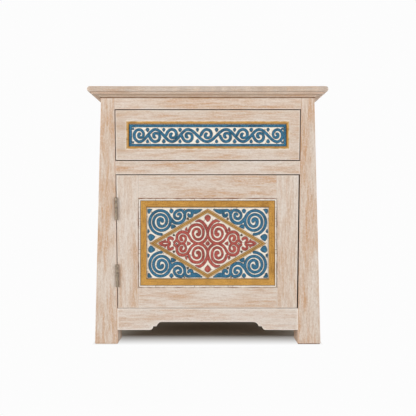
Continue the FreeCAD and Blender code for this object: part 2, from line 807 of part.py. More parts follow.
def drawer():
    recess_half = minus(DRAWER_HALF, "drawer_margin_side")
    recess_low = plus(DRAWER_LOW, "drawer_margin_end")
    recess_high = minus(DRAWER_HIGH, "drawer_margin_end")
    recess_floor = plus(FRONT, "drawer_recess")
    carved_face = minus(recess_floor, "drawer_carved_thickness")
    front_rear = plus(FRONT, "drawer_front_thickness")
    sunk = (f"-{recess_half}", recess_half)
    carved = box("carved", sunk, (carved_face, recess_floor), (recess_low, recess_high))
    bead = strip_frame("drawer_bead", recess_half, recess_low, recess_high, "drawer_bead_width",
                       "drawer_bead_width", minus(FRONT, "drawer_bead_proud"), carved_face)
    recess = box("recess", sunk, (minus(FRONT, "drawer_recess"), recess_floor), (recess_low, recess_high))
    inside_half = minus(DRAWER_HALF, "drawer_side_thickness")
    reach = (minus(front_rear, "drawer_joint"), DRAWER_BACK)
    heights = (DRAWER_LOW, DRAWER_SIDE_TOP)
    side_blanks = {"left": box("side", (f"-{DRAWER_HALF}", f"-{inside_half}"), reach, heights),
                   "right": box("side", (inside_half, DRAWER_HALF), reach, heights)}
    back_half = plus(inside_half, "drawer_joint")
    back_face = minus(DRAWER_BACK, "drawer_side_thickness")
    back_blank = box("back", (f"-{back_half}", back_half), (back_face, DRAWER_BACK), heights)
    bottom_half = plus(inside_half, "drawer_bottom_groove")
    bottom_low = plus(DRAWER_LOW, "drawer_bottom_lift")
    bottom = box("bottom", (f"-{bottom_half}", bottom_half),
                 (minus(front_rear, "drawer_bottom_groove"), plus(back_face, "drawer_bottom_groove")),
                 (bottom_low, plus(bottom_low, "drawer_bottom_thickness")))
    face = quad(lambda level: minus(inner(level), "drawer_gap"), DRAWER_LOW, DRAWER_HIGH)
    front = prism("front_blank", face, FRONT, front_rear)
    back = keep(cut("drawer_back", back_blank, [bottom]), "drawer_back")
    for hand, blank in side_blanks.items():
        keep(cut("drawer_side", blank, [back, bottom]), "drawer_side_" + hand)
    keep(cut("drawer_front", front, [recess, *side_blanks.values(), bottom]), "drawer_front")
    keep(carved, "drawer_carved_panel")
    keep(bead, "drawer_gilt_bead")
    keep(bottom, "drawer_bottom")


# Door

def door_rail_blank(name, low, high):
    """A rail of the door between its stiles, tenoned into both."""
    def reach(level):
        return PANEL_HALF
    body = prism(name, quad(reach, low, high), FRONT, DOOR_REAR)
    add_tenons(body, reach, low, high, FRONT, "door_thickness", "door_tenon_length",
               "groove_depth + groove_wall")
    return body


def door_stile_blank(side, gap):
    def edge(level):
        return f"{side} * {minus(inner(level), gap)}"
    sight = f"{side} * {PANEL_HALF}"
    corners = [(edge(DOOR_LOW), DOOR_LOW), (sight, DOOR_LOW),
               (sight, DOOR_HIGH), (edge(DOOR_HIGH), DOOR_HIGH)]
    return prism("door_stile", corners, FRONT, DOOR_REAR)


def door(hinges):
    face = plus(FRONT, "panel_recess")
    half = plus(PANEL_HALF, "groove_depth")
    panel = box("panel", (f"-{half}", half), (face, plus(face, "panel_thickness")),
                (minus(PANEL_LOW, "groove_depth"), plus(PANEL_HIGH, "groove_depth")))
    bottom_rail = door_rail_blank("bottom_rail_blank", DOOR_LOW, PANEL_LOW)
    top_rail = door_rail_blank("top_rail_blank", PANEL_HIGH, DOOR_HIGH)
    fitted = [bottom_rail, top_rail, panel]
    metal = [item[part] for item in hinges for part in ("door_leaf", "door_screws")]
    keep(cut("hinge_stile", door_stile_blank(-1, "door_gap"), fitted + metal), "door_hinge_stile")
    keep(cut("free_stile", door_stile_blank(1, "door_free_gap"), fitted), "door_free_stile")
    keep(cut("bottom_rail", bottom_rail, [panel]), "door_bottom_rail")
    keep(cut("top_rail", top_rail, [panel]), "door_top_rail")
    keep(panel, "door_carved_panel")
    keep(strip_frame("bead", PANEL_HALF, PANEL_LOW, PANEL_HIGH, "bead_width", "bead_width",
                     plus(FRONT, "bead_recess"), face), "door_bead")
    gilt_face = minus(face, "gilt_thickness")
    keep(strip_frame("gilt", minus(PANEL_HALF, "bead_width"), plus(PANEL_LOW, "bead_width"),
                     minus(PANEL_HIGH, "bead_width"), "gilt_stile", "gilt_rail", gilt_face, face),
         "door_gilt_border")
    keep(lozenge(gilt_face, face), "door_gilt_lozenge")
    keep(strike_plate(), "door_strike_plate")


# Assembly

hinges = {"upper": hinge("upper", minus(DOOR_HIGH, "hinge_drop")),
          "lower": hinge("lower", plus(DOOR_LOW, "hinge_rise"))}
for level_name, pieces in hinges.items():
    keep(pieces["frame_leaf"], f"hinge_{level_name}_frame_leaf")
    keep(pieces["door_leaf"], f"hinge_{level_name}_door_leaf")
for owner in ("frame", "door"):
    screws = [pieces[owner + "_screws"] for pieces in hinges.values()]
    keep(group("screws", screws), f"hinge_{owner}_screws")
keep(group("pins", [pieces["pin"] for pieces in hinges.values()]), "hinge_pins")

drawer_latch = latch("drawer_latch", seat_drawer_latch)
door_latch = latch("door_latch", seat_door_latch)
keep(drawer_latch["housing"], "drawer_latch_housing")
keep(door_latch["housing"], "door_latch_housing")
keep(drawer_latch["plunger"], "drawer_latch_plunger")
keep(door_latch["plunger"], "door_latch_plunger")
keep(group("screws", [drawer_latch["screws"], door_latch["screws"]]), "latch_screws")

front_legs = {hand: front_leg_blank("front_leg", side) for hand, side in SIDES.items()}
rear_legs = {hand: rear_leg_blank("rear_leg", side) for hand, side in SIDES.items()}
top_rail = keep(cross_rail("top_rail", TOP_RAIL_LOW, SLAB_UNDER, FRONT), "top_rail")
middle_rail = keep(cross_rail("middle_rail", MIDDLE_RAIL_LOW, MIDDLE_RAIL_TOP, FRONT), "middle_rail")
nails = keep(back_nails(), "back_panel_nails")
all_legs = [*front_legs.values(), *rear_legs.values()]
floor_board = keep(cut("floor_board", floor_blank(), all_legs), "floor_board")
back_panel = keep(cut("back_panel", back_panel_blank(), [nails]), "back_panel")
apron = keep(cut("apron", apron_blank(), [floor_board]), "apron")
back_levels = {"top": (TOP_RAIL_LOW, SLAB_UNDER), "middle": (MIDDLE_RAIL_LOW, MIDDLE_RAIL_TOP),
               "bottom": ("foot_clear", SIDE_RAIL_TOP)}
back_tools = {"top": [nails], "middle": [nails, drawer_latch["screws"]], "bottom": [nails, floor_board]}
back_rails = []
for level_name, (low, high) in back_levels.items():
    blank = cross_rail("back_rail", low, high, BACK_RAIL_FACE)
    back_rails.append(keep(cut("back_rail", blank, back_tools[level_name]), f"back_{level_name}_rail"))

dust = keep(dust_panel(), "dust_panel")
runner_top = minus(DRAWER_LOW, "running_clearance")
kicker_low = plus(DRAWER_SIDE_TOP, "kicker_gap")
screws_up = keep(top_screws(), "top_screws")
keep(cut("blocks", top_blocks(), [screws_up]), "top_blocks")
keep(cut("top_board", top_board(), [screws_up]), "top_board")
keep(cornice_front(), "cornice_front")
keep(door_stop(), "door_stop")

frame_metal = [item[part] for item in hinges.values() for part in ("frame_leaf", "frame_screws")]
leg_metal = {"left": frame_metal, "right": [door_latch["screws"]]}
for hand, side in SIDES.items():
    panel = keep(side_panel(side), f"side_panel_{hand}")
    top_blank = side_rail_blank("side_top_rail", side, SIDE_TOP_RAIL_LOW, SLAB_UNDER)
    bottom_blank = side_rail_blank("side_bottom_rail", side, "foot_clear", SIDE_RAIL_TOP)
    side_rails = [keep(cut("side_rail", top_blank, [panel]), f"side_top_rail_{hand}"),
                  keep(cut("side_rail", bottom_blank, [panel, floor_board]), f"side_bottom_rail_{hand}")]
    into_front = [top_rail, middle_rail, apron, *side_rails, panel, *leg_metal[hand]]
    keep(cut("front_leg", front_legs[hand], into_front), f"front_leg_{hand}")
    into_rear = [*back_rails, *side_rails, panel, back_panel]
    keep(cut("rear_leg", rear_legs[hand], into_rear), f"rear_leg_{hand}")
    scribed = [front_legs[hand], side_rails[0], rear_legs[hand]]
    keep(cut("cornice", cornice_side_blank(side), scribed), f"cornice_{hand}")
    runner = leg_strip("runner", side, MIDDLE_RAIL_LOW, runner_top, "runner_width")
    keep(cut("runner", runner, [dust]), f"drawer_runner_{hand}")
    keep(leg_strip("kicker", side, kicker_low, plus(kicker_low, "kicker_height"), "kicker_width"),
         f"drawer_kicker_{hand}")

drawer()
door(list(hinges.values()))
doc.recompute()

failed = [item.Label for item in doc.Objects if {"Invalid", "Error"} & set(item.State)]
broken = [item.Label for item in nodes if item.Shape.isNull() or not item.Shape.isValid()]
if failed or broken:
    raise RuntimeError(f"failed objects {failed}, unsound pieces {broken}")

os.makedirs("parts", exist_ok=True)
for item in nodes:
    item.Shape.exportStep(f"parts/{item.Label}.step")
    print(item.Label, len(item.Shape.Solids), "solids", round(item.Shape.Volume), "mm3")
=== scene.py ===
import math
import random

import bmesh
import bpy
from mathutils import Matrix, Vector


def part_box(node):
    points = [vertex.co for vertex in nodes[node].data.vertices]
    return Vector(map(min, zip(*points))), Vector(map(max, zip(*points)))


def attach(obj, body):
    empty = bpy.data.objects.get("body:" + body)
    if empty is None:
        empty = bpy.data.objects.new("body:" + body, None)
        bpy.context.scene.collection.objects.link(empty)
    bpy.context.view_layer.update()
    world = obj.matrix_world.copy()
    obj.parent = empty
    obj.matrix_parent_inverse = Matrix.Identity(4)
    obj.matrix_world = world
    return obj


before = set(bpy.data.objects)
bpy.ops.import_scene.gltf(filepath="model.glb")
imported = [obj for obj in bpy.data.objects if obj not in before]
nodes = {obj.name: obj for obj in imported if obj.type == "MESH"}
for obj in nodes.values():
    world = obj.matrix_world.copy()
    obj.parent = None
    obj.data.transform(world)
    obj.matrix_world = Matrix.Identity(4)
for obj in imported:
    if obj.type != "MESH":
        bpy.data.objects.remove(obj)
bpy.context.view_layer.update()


# Colours and node trees

def rgb(red, green, blue):
    """An everyday 0 to 255 colour as the linear colour that a shader takes."""
    def linear(part):
        share = part / 255
        return share / 12.92 if share <= 0.04045 else ((share + 0.055) / 1.055) ** 2.4
    return (linear(red), linear(green), linear(blue), 1.0)


class Tree:
    """A node tree, with short ways to add nodes to it."""

    def __init__(self, tree):
        self.tree = tree

    def feed(self, socket, source):
        if isinstance(source, bpy.types.NodeSocket):
            self.tree.links.new(source, socket)
        else:
            socket.default_value = source

    def node(self, kind, inputs=None, **settings):
        item = self.tree.nodes.new("ShaderNode" + kind)
        for key, setting in settings.items():
            setattr(item, key, setting)
        for socket, source in (inputs or {}).items():
            self.feed(item.inputs[socket], source)
        return item

    def math(self, operation, first, second=0.0):
        return self.node("Math", {0: first, 1: second}, operation=operation).outputs[0]

    def span(self, source, low, high, start=0.0, end=1.0):
        """A number moved from the span low to high into the span start to end, and held inside it."""
        inputs = {"Value": source, "From Min": low, "From Max": high, "To Min": start, "To Max": end}
        return self.node("MapRange", inputs).outputs[0]

    def mix(self, share, first, second):
        return self.node("Mix", {0: share, 6: first, 7: second}, data_type="RGBA").outputs[2]

    def noise(self, vector, scale, detail=3.0, roughness=0.55, distortion=0.0):
        inputs = {"Vector": vector, "Scale": scale, "Detail": detail, "Roughness": roughness,
                  "Distortion": distortion}
        return self.node("TexNoise", inputs).outputs[0]


class Paint(Tree):
    """A material with its node tree; place is where a point lies on the object."""

    def __init__(self, name):
        self.material = bpy.data.materials.new(name)
        self.material.use_nodes = True
        super().__init__(self.material.node_tree)
        self.shader = self.tree.nodes["Principled BSDF"]
        self.place = self.node("TexCoord").outputs["Object"]

    def moved(self, offset, scale=(1.0, 1.0, 1.0)):
        inputs = {"Vector": self.place, "Location": offset, "Scale": scale}
        return self.node("Mapping", inputs).outputs[0]

    def nearness(self, reach, inside=False):
        """How much of the space within reach is taken: crevices, or with inside set, outer edges."""
        shade = self.node("AmbientOcclusion", {"Distance": reach}, samples=6, inside=inside)
        return self.math("SUBTRACT", 1.0, shade.outputs["AO"])

    def axes(self):
        return self.node("SeparateXYZ", {0: self.place}).outputs

    def turned_back(self):
        """How far a face is turned to the back: -1 on the front, 1 on the rear."""
        return self.node("SeparateXYZ", {0: self.node("TexCoord").outputs["Normal"]}).outputs[1]

    def line_noise(self, along, scale, start, detail=1.0):
        """Noise that changes along one line only."""
        return self.noise(self.node("CombineXYZ", {0: along, 1: start}).outputs[0], scale, detail)

    def finish(self, colour, rough, bump, shine=0.3):
        """Wires up the shader; bump is a height, a strength and a depth."""
        height, strength, depth = bump
        normal = self.node("Bump", {"Height": height, "Strength": strength, "Distance": depth})
        self.feed(self.shader.inputs["Base Color"], colour)
        self.feed(self.shader.inputs["Roughness"], rough)
        self.feed(self.shader.inputs["Normal"], normal.outputs[0])
        self.shader.inputs["Specular IOR Level"].default_value = shine
        return self.material


# Paints and materials

PATTERN_REACH = 4


def stretched(along, share):
    """A scale that draws a pattern out along one axis."""
    return tuple(share if axis == along else 1.0 for axis in "xyz")


def random_place(seed):
    """Where in an endless pattern a piece of wood is cut from."""
    draw = random.Random(seed)
    return [draw.uniform(-PATTERN_REACH, PATTERN_REACH) for _ in range(3)]


GRAIN_STRETCH = 0.08
STREAK_STRETCH = 0.09
PATCH_STRETCH = 0.2
FLECK_STRETCH = 0.5
PATCH_SCALE = 34.0
STREAK_SCALE = 210.0
FLECK_SCALE = 470.0
FIBRE_SCALE = 560.0
STREAK_SHARE = 0.55
SCUFF_TOP = 0.14
SCUFF = 0.12
CREVICE_REACH = 0.006
ARRIS_REACH = 0.0045
RIM_SCALE = 40.0
RIM_START = 1000
THICK_WASH = rgb(222, 210, 199)
THIN_WASH = rgb(208, 185, 163)
RUBBED_WOOD = rgb(198, 152, 114)
PALE_FLECK = rgb(233, 224, 215)
BROWN_FLECK = rgb(186, 148, 117)
DARK_FIBRE = rgb(170, 136, 108)
CREVICE_STAIN = rgb(172, 124, 88)
# Paler outer edges: partly worn paint, partly a painted highlight along the arrises
PALE_EDGE_WEAR_AND_HIGHLIGHT = rgb(240, 229, 218)
RUBBED_EDGE = rgb(194, 146, 110)


def limed_wood(name, along, seed, worn, pale, edge, gap, rims):
    """Wood with a chalky white wash, brushed along the grain, and rubbed through in flecks and low down.

    Worn is how far the wash is rubbed off in the patches, and pale how much thicker than usual it lies.
    Edge is the colour and strength of the outer edges: rubbed wood on some pieces, on others a paler
    colour that is partly worn paint and partly a painted highlight. Gap is the colour painted into narrow
    gaps: painted shade on most pieces, painted light on a few.
    Each rim is a line on the piece: its terms, how far out it lies, its half width, its colour, and its
    least and greatest strength."""
    offset = random_place(seed)
    paint = Paint(name)
    patches = paint.noise(paint.moved(offset, stretched(along, PATCH_STRETCH)), PATCH_SCALE, 4.0, 0.6)
    streaks = paint.noise(paint.moved(offset, stretched(along, STREAK_STRETCH)), STREAK_SCALE, 4.0, 0.7)
    flecks = paint.noise(paint.moved(offset, stretched(along, FLECK_STRETCH)), FLECK_SCALE, 3.0, 0.7)
    fibres = paint.noise(paint.moved(offset, stretched(along, GRAIN_STRETCH)), FIBRE_SCALE, 3.0, 0.6)
    tone = paint.math("ADD", paint.math("MULTIPLY", streaks, STREAK_SHARE),
                      paint.math("MULTIPLY", patches, 1 - STREAK_SHARE))
    base = paint.mix(paint.span(tone, 0.38 + pale, 0.62 + pale), THICK_WASH, THIN_WASH)
    scuffed = paint.math("ADD", patches, paint.span(paint.axes()[2], SCUFF_TOP, 0.0, 0.0, SCUFF))
    rubbed = paint.math("MULTIPLY", paint.span(scuffed, 0.44, 0.62, 0.0, worn),
                        paint.span(streaks, 0.42, 0.57, 0.1, 1.0))
    base = paint.mix(rubbed, base, RUBBED_WOOD)
    base = paint.mix(paint.span(flecks, 0.52, 0.70, 0.0, 0.55), base, PALE_FLECK)
    base = paint.mix(paint.span(flecks, 0.47, 0.29, 0.0, 0.5), base, BROWN_FLECK)
    base = paint.mix(paint.span(fibres, 0.47, 0.30, 0.0, 0.4), base, DARK_FIBRE)
    crevice = paint.nearness(CREVICE_REACH)
    stain = paint.math("MULTIPLY", paint.span(crevice, 0.1, 0.5, 0.0, 0.6),
                       paint.span(patches, 0.38, 0.56, 0.1, 1.0))
    base = paint.mix(stain, base, CREVICE_STAIN)
    # Outer edges take the edge colour: rubbed wood, or worn paint with a painted highlight
    edge_colour, edge_strength = edge
    outer_edge = paint.span(paint.nearness(ARRIS_REACH, True), 0.10, 0.34, 0.0, edge_strength)
    arris = paint.math("MULTIPLY", outer_edge, paint.span(streaks, 0.36, 0.52, 0.2, 1.0))
    base = paint.mix(arris, base, edge_colour)
    # Narrow gaps get the gap colour: painted shade, or painted light on a few pieces
    base = paint.mix(paint.span(crevice, 0.5, 0.75, 0.0, 0.95), base, gap)
    for terms, out, half, colour, strength in rims:
        across, along_rim = (term(paint) for term in terms[:2])
        aside = paint.math("ABSOLUTE", paint.math("SUBTRACT", across, out))
        drift = paint.line_noise(along_rim, RIM_SCALE, out * RIM_START, 3.0)
        line = paint.math("MULTIPLY", paint.span(aside, half, half * 0.4),
                          paint.span(drift, 0.38, 0.6, *strength))
        base = paint.mix(line, base, colour)
    return paint.finish(base, paint.span(fibres, 0.3, 0.7, 0.62, 0.78),
                        (paint.math("ADD", flecks, streaks), 0.22, 0.0006))


DARK_GRAIN = rgb(120, 84, 54)
INNER_SHADE = rgb(104, 74, 50)
INNER_REACH = 0.008


def bare_wood(name, along, seed, light, dark):
    """Plain sawn wood with its own grain, for what is out of sight when all is closed."""
    paint = Paint(name)
    grain = paint.moved(random_place(seed), stretched(along, GRAIN_STRETCH))
    bands = paint.noise(grain, 60.0, 4.0, 0.6, 1.2)
    fibres = paint.noise(grain, 380.0, 3.0, 0.6)
    base = paint.mix(paint.span(bands, 0.35, 0.65), light, dark)
    base = paint.mix(paint.span(fibres, 0.52, 0.34, 0.0, 0.35), base, DARK_GRAIN)
    base = paint.mix(paint.span(paint.nearness(INNER_REACH), 0.2, 0.7, 0.0, 0.5), base, INNER_SHADE)
    return paint.finish(base, paint.span(fibres, 0.3, 0.7, 0.66, 0.82), (fibres, 0.2, 0.0005), 0.25)


def relief_paint(name, seed, mid, light, dark):
    """Brushed paint on carved bands: paler on top, and painted shade down the sides, which turn away from
    the front.
    """
    paint = Paint(name)
    brushed = paint.noise(paint.moved((seed, 0.3, seed)), 330.0, 4.0, 0.65, 0.5)
    cloud = paint.noise(paint.moved((0.4, seed, 0.2)), 60.0, 2.0)
    base = paint.mix(paint.span(brushed, 0.40, 0.64), mid, light)
    base = paint.mix(paint.span(cloud, 0.46, 0.68, 0.0, 0.4), base, dark)
    # Painted shade: darker where a face turns away from the front
    base = paint.mix(paint.span(paint.turned_back(), -0.97, -0.55, 0.0, 0.95), base, dark)
    return paint.finish(base, paint.span(brushed, 0.3, 0.7, 0.5, 0.66), (brushed, 0.25, 0.0004), 0.35)


CREAM_LIGHT, CREAM_DARK = rgb(250, 243, 232), rgb(240, 225, 205)
CREAM_STAIN = rgb(140, 108, 78)
CORNER_GLAZE_AND_SHADE = rgb(108, 82, 58)
CREAM_REACH = 0.002
BACK_LIGHT, BACK_DARK = rgb(218, 194, 164), rgb(186, 150, 114)


def cream_paint(name, seed):
    """Chalky cream paint with brown in the corners, partly rubbed-in glaze and partly painted shade, and a
    few stains, on wood left bare behind.
    """
    paint = Paint(name)
    chalk = paint.noise(paint.moved((seed, 0.1, 0.7)), 160.0, 4.0, 0.6)
    spots = paint.noise(paint.moved((0.6, seed, 0.1)), 210.0, 2.0)
    base = paint.mix(paint.span(chalk, 0.4, 0.66), CREAM_LIGHT, CREAM_DARK)
    base = paint.mix(paint.span(spots, 0.62, 0.68, 0.0, 0.65), base, CREAM_STAIN)
    # Brown in the corners beside the bands: partly rubbed-in glaze, partly painted shade
    base = paint.mix(paint.span(paint.nearness(CREAM_REACH), 0.3, 0.55, 0.0, 0.7), base, CORNER_GLAZE_AND_SHADE)
    fibres = paint.noise(paint.moved((seed, 0.5, 0.2), stretched("x", GRAIN_STRETCH)), 380.0, 4.0, 0.6)
    bare = paint.mix(paint.span(fibres, 0.36, 0.64), BACK_LIGHT, BACK_DARK)
    base = paint.mix(paint.span(paint.turned_back(), -0.3, 0.3), base, bare)
    return paint.finish(base, paint.span(chalk, 0.3, 0.7, 0.6, 0.75), (chalk, 0.2, 0.0005))


BEAD_LIGHT, BEAD_DARK = rgb(250, 243, 234), rgb(236, 222, 205)
BEAD_OUTER_LINE = rgb(112, 80, 54)
BEAD_INNER_SHADOW = rgb(104, 86, 66)
BEAD_CHIP = rgb(78, 62, 48)


def bead_paint(name, across, along, width):
    """Cream paint on a bead, a brown line along its outer side, a painted shadow line along its inner side
    next to the gold, and chipped through in places.
    """
    paint = Paint(name)
    across, along = across(paint), along(paint)
    chalk = paint.noise(paint.place, 180.0, 4.0, 0.6)
    drift = paint.line_noise(along, 34.0, 2.6)
    chips = paint.line_noise(along, 300.0, 7.3)
    base = paint.mix(paint.span(chalk, 0.4, 0.66), BEAD_LIGHT, BEAD_DARK)
    outer_line = paint.math("MULTIPLY", paint.span(across, -0.38 * width, -0.26 * width),
                            paint.span(drift, 0.36, 0.6, 0.45, 1.0))
    base = paint.mix(outer_line, base, BEAD_OUTER_LINE)
    # A painted shadow line along the inner side of the bead, next to the gold
    base = paint.mix(paint.span(across, -0.76 * width, -0.86 * width, 0.0, 0.85), base, BEAD_INNER_SHADOW)
    base = paint.mix(paint.span(chips, 0.63, 0.68, 0.0, 0.8), base, BEAD_CHIP)
    return paint.finish(base, paint.span(chalk, 0.3, 0.7, 0.6, 0.75), (chalk, 0.2, 0.0005))


PAINTED_LIGHT_FADE = 0.006
STROKE_STRETCH = 0.08
GILT_EDGE_REACH = 0.0025
GILT_CREVICE_REACH = 0.004
GILT_MITRE_WIDTH = 0.0008
GILT_EDGE_WEAR_AND_HIGHLIGHT = rgb(214, 172, 102)
GILT_CREVICE_SHADE = rgb(84, 58, 30)
GILT_MITRE = rgb(110, 76, 36)
GILT_OUTLINE_AND_SHADE = rgb(92, 64, 32)
GILT_GROOVE_SHADE = rgb(88, 62, 30)
GILT_BARED = rgb(228, 204, 168)
GILT_NICK = rgb(88, 60, 34)
GILT_PAINTED_LIGHT = rgb(226, 176, 96)


def gilt_paint(name, terms, low, high, dark, edges, worn=False, groove=None, painted_light_below=None):
    """Gold paint brushed along a strip; terms give places across and along it and the mitred corners.

    Edges are pairs of places across: where a dark line begins, and where it is full; each line is partly
    dark outline and partly painted shade.
    With worn set, the gold is rubbed through in short places along the strip.
    Groove is the place across and the half width of a darker line down the strip, painted shade standing
    for a groove.
    Below the height given last, the gold is painted lighter: painted light on the lower part of the
    border."""
    paint = Paint(name)
    across, along, seam = (term(paint) for term in terms)
    line = paint.node("CombineXYZ", {0: across, 1: paint.math("MULTIPLY", along, STROKE_STRETCH)})
    strokes = paint.noise(line.outputs[0], 520.0, 4.0, 0.6)
    grit = paint.noise(paint.place, 420.0, 3.0, 0.65)
    cloud = paint.noise(paint.place, 38.0, 3.0)
    base = paint.mix(paint.span(strokes, 0.36, 0.64), low, high)
    base = paint.mix(paint.span(cloud, 0.45, 0.7, 0.0, 0.5), base, dark)
    base = paint.mix(paint.span(grit, 0.48, 0.30, 0.0, 0.8), base, dark)
    # Paler gold on outer edges: partly rubbed, partly a painted highlight
    edge = paint.nearness(GILT_EDGE_REACH, True)
    base = paint.mix(paint.span(edge, 0.25, 0.7, 0.0, 0.3), base, GILT_EDGE_WEAR_AND_HIGHLIGHT)
    # Painted shade in crevices beside the gold
    crevice = paint.nearness(GILT_CREVICE_REACH)
    base = paint.mix(paint.span(crevice, 0.16, 0.6, 0.0, 0.85), base, GILT_CREVICE_SHADE)
    base = paint.mix(paint.span(seam, 0.0, GILT_MITRE_WIDTH, 0.45, 0.0), base, GILT_MITRE)
    # Dark lines along the edges: partly outline, partly painted shade
    for begin, full in edges:
        base = paint.mix(paint.span(across, begin, full, 0.0, 0.8), base, GILT_OUTLINE_AND_SHADE)
    # Painted shade of a groove down the middle of the strip
    if groove:
        middle, half = groove
        aside = paint.math("ABSOLUTE", paint.math("SUBTRACT", across, middle))
        base = paint.mix(paint.span(aside, half, half / 2, 0.0, 0.75), base, GILT_GROOVE_SHADE)
    if worn:
        rubbing = paint.line_noise(along, 60.0, 4.4, 3.0)
        bared = paint.math("MULTIPLY", paint.span(rubbing, 0.44, 0.58, 0.35, 1.0),
                           paint.span(across, -0.0030, -0.0014))
        base = paint.mix(paint.math("MULTIPLY", bared, 0.85), base, GILT_BARED)
        nicks = paint.line_noise(along, 170.0, 9.1)
        base = paint.mix(paint.span(nicks, 0.66, 0.71, 0.0, 0.8), base, GILT_NICK)
    # Painted light: the gold below the given height is lighter
    if painted_light_below:
        lower = paint.span(paint.axes()[2], painted_light_below, painted_light_below - PAINTED_LIGHT_FADE, 0.0, 0.19)
        base = paint.mix(lower, base, GILT_PAINTED_LIGHT)
    paint.shader.inputs["Metallic"].default_value = 0.1
    return paint.finish(base, paint.span(strokes, 0.3, 0.7, 0.45, 0.6), (grit, 0.2, 0.0004))


METAL_REACH = 0.003
PLASTIC_GRAIN = rgb(120, 116, 108)


def aged_metal(name, seed, mid, light, dark):
    """Dull metal with spots of wear and dirt."""
    paint = Paint(name)
    spots = paint.noise(paint.moved((seed, seed, 0.2)), 190.0, 4.0, 0.65)
    base = paint.mix(paint.span(spots, 0.36, 0.62), mid, light)
    base = paint.mix(paint.span(spots, 0.46, 0.30, 0.0, 0.8), base, dark)
    base = paint.mix(paint.span(paint.nearness(METAL_REACH), 0.25, 0.7, 0.0, 0.6), base, dark)
    paint.shader.inputs["Metallic"].default_value = 0.6
    return paint.finish(base, paint.span(spots, 0.3, 0.7, 0.42, 0.62), (spots, 0.15, 0.0003), 0.4)


def moulded_plastic(name, shade):
    """Plastic with the fine grain of its mould."""
    paint = Paint(name)
    grain = paint.noise(paint.place, 900.0, 2.0)
    base = paint.mix(paint.span(grain, 0.3, 0.7, 0.0, 0.25), shade, PLASTIC_GRAIN)
    return paint.finish(base, paint.span(grain, 0.3, 0.7, 0.45, 0.6), (grain, 0.1, 0.0002), 0.5)


# Places on a border, a diamond or a line, for paint that follows it

def centre_of(node):
    low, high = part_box(node)
    return (low + high) / 2


def half_of(node):
    low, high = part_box(node)
    return (high - low) / 2


def border_terms(node):
    """How far a place lies past a border's outer rectangle, its place along it, and the mitres."""
    centre, half = centre_of(node), half_of(node)

    def past(paint):
        x, _, z = paint.axes()
        sideways = paint.math("SUBTRACT", paint.math("ABSOLUTE", x), half.x)
        height = paint.math("ABSOLUTE", paint.math("SUBTRACT", z, centre.z))
        return sideways, paint.math("SUBTRACT", height, half.z)

    def across(paint):
        return paint.math("MAXIMUM", *past(paint))

    def along(paint):
        x, _, z = paint.axes()
        upright = paint.math("GREATER_THAN", *past(paint))
        level = paint.math("SUBTRACT", 1.0, upright)
        return paint.math("ADD", paint.math("MULTIPLY", upright, z), paint.math("MULTIPLY", level, x))

    def seam(paint):
        return paint.math("ABSOLUTE", paint.math("SUBTRACT", *past(paint)))

    return across, along, seam


def lozenge_terms(node):
    """Places across and along the sides of a diamond, and its mitres."""
    centre, half = centre_of(node), half_of(node)
    side = math.hypot(half.x, half.z)

    def parts(paint):
        x, _, z = paint.axes()
        return paint.math("ABSOLUTE", x), paint.math("ABSOLUTE", paint.math("SUBTRACT", z, centre.z))

    def across(paint):
        out, up = parts(paint)
        return paint.math("ADD", paint.math("MULTIPLY", out, half.z / side),
                          paint.math("MULTIPLY", up, half.x / side))

    def along(paint):
        return paint.axes()[0]

    def seam(paint):
        return paint.math("MINIMUM", *parts(paint))

    return across, along, seam


def level_terms():
    """Heights, and places along a level line."""
    def across(paint):
        return paint.axes()[2]

    def along(paint):
        x, y, _ = paint.axes()
        return paint.math("ADD", x, y)

    return across, along


def upright_terms():
    """Places across the front, and heights."""
    def across(paint):
        return paint.axes()[0]

    def along(paint):
        return paint.axes()[2]

    return across, along


def edge_lines(outer, width, line):
    """Where a strip's dark edge lines, partly painted shade, begin and are full, at its outer and its
    inner edge.
    """
    inner = outer - width
    return [(outer - line, outer), (inner + line, inner)]


# Wood, metal, plastic and paint on the pieces

WELD_REACH = 0.00002
SHARP_ANGLE = math.radians(32)


def soften(node, width, segments=2):
    """Rounds the sharp edges of a piece a little."""
    weld = nodes[node].modifiers.new("weld", "WELD")
    weld.merge_threshold = WELD_REACH
    bevel = nodes[node].modifiers.new("soft_edges", "BEVEL")
    bevel.width = width
    bevel.segments = segments
    bevel.limit_method = "ANGLE"
    bevel.angle_limit = SHARP_ANGLE
    bevel.harden_normals = True


def dress(node, material):
    nodes[node].data.materials.clear()
    nodes[node].data.materials.append(material)


LIMED = {
    "top_board": "x", "cornice_front": "x", "cornice_left": "y", "cornice_right": "y",
    "front_leg_left": "z", "front_leg_right": "z", "rear_leg_left": "z", "rear_leg_right": "z",
    "top_rail": "x", "middle_rail": "x", "apron": "x",
    "side_top_rail_left": "y", "side_top_rail_right": "y",
    "side_bottom_rail_left": "y", "side_bottom_rail_right": "y",
    "side_panel_left": "z", "side_panel_right": "z",
    "drawer_front": "x", "door_hinge_stile": "z", "door_free_stile": "z",
    "door_top_rail": "x", "door_bottom_rail": "x",
}
WOOD_EDGE = 0.0007


DOOR_RIM_BROWN = rgb(140, 96, 64)


def door_rim(low, high):
    """A brown line beside the door's bead, of a least and a greatest strength."""
    return [(border_terms("door_bead"), 0.0008, 0.0015, DOOR_RIM_BROWN, (low, high))]


# A rim is its terms, how far out it lies, its half width, colour, and least and greatest strength
DRAWER_RIM = (border_terms("drawer_gilt_bead"), 0.0009, 0.0011, rgb(240, 228, 214), (0.2, 0.9))
SLAB_LEVEL = 0.5945
SLAB_SHADE = (level_terms(), SLAB_LEVEL, 0.0075, rgb(158, 146, 138), (0.0, 0.3))
DRAWER_END = -0.204
DRAWER_SMEAR = (upright_terms(), DRAWER_END, 0.017, rgb(190, 162, 138), (0.0, 0.4))
CORNICE_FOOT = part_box("cornice_front")[0].z
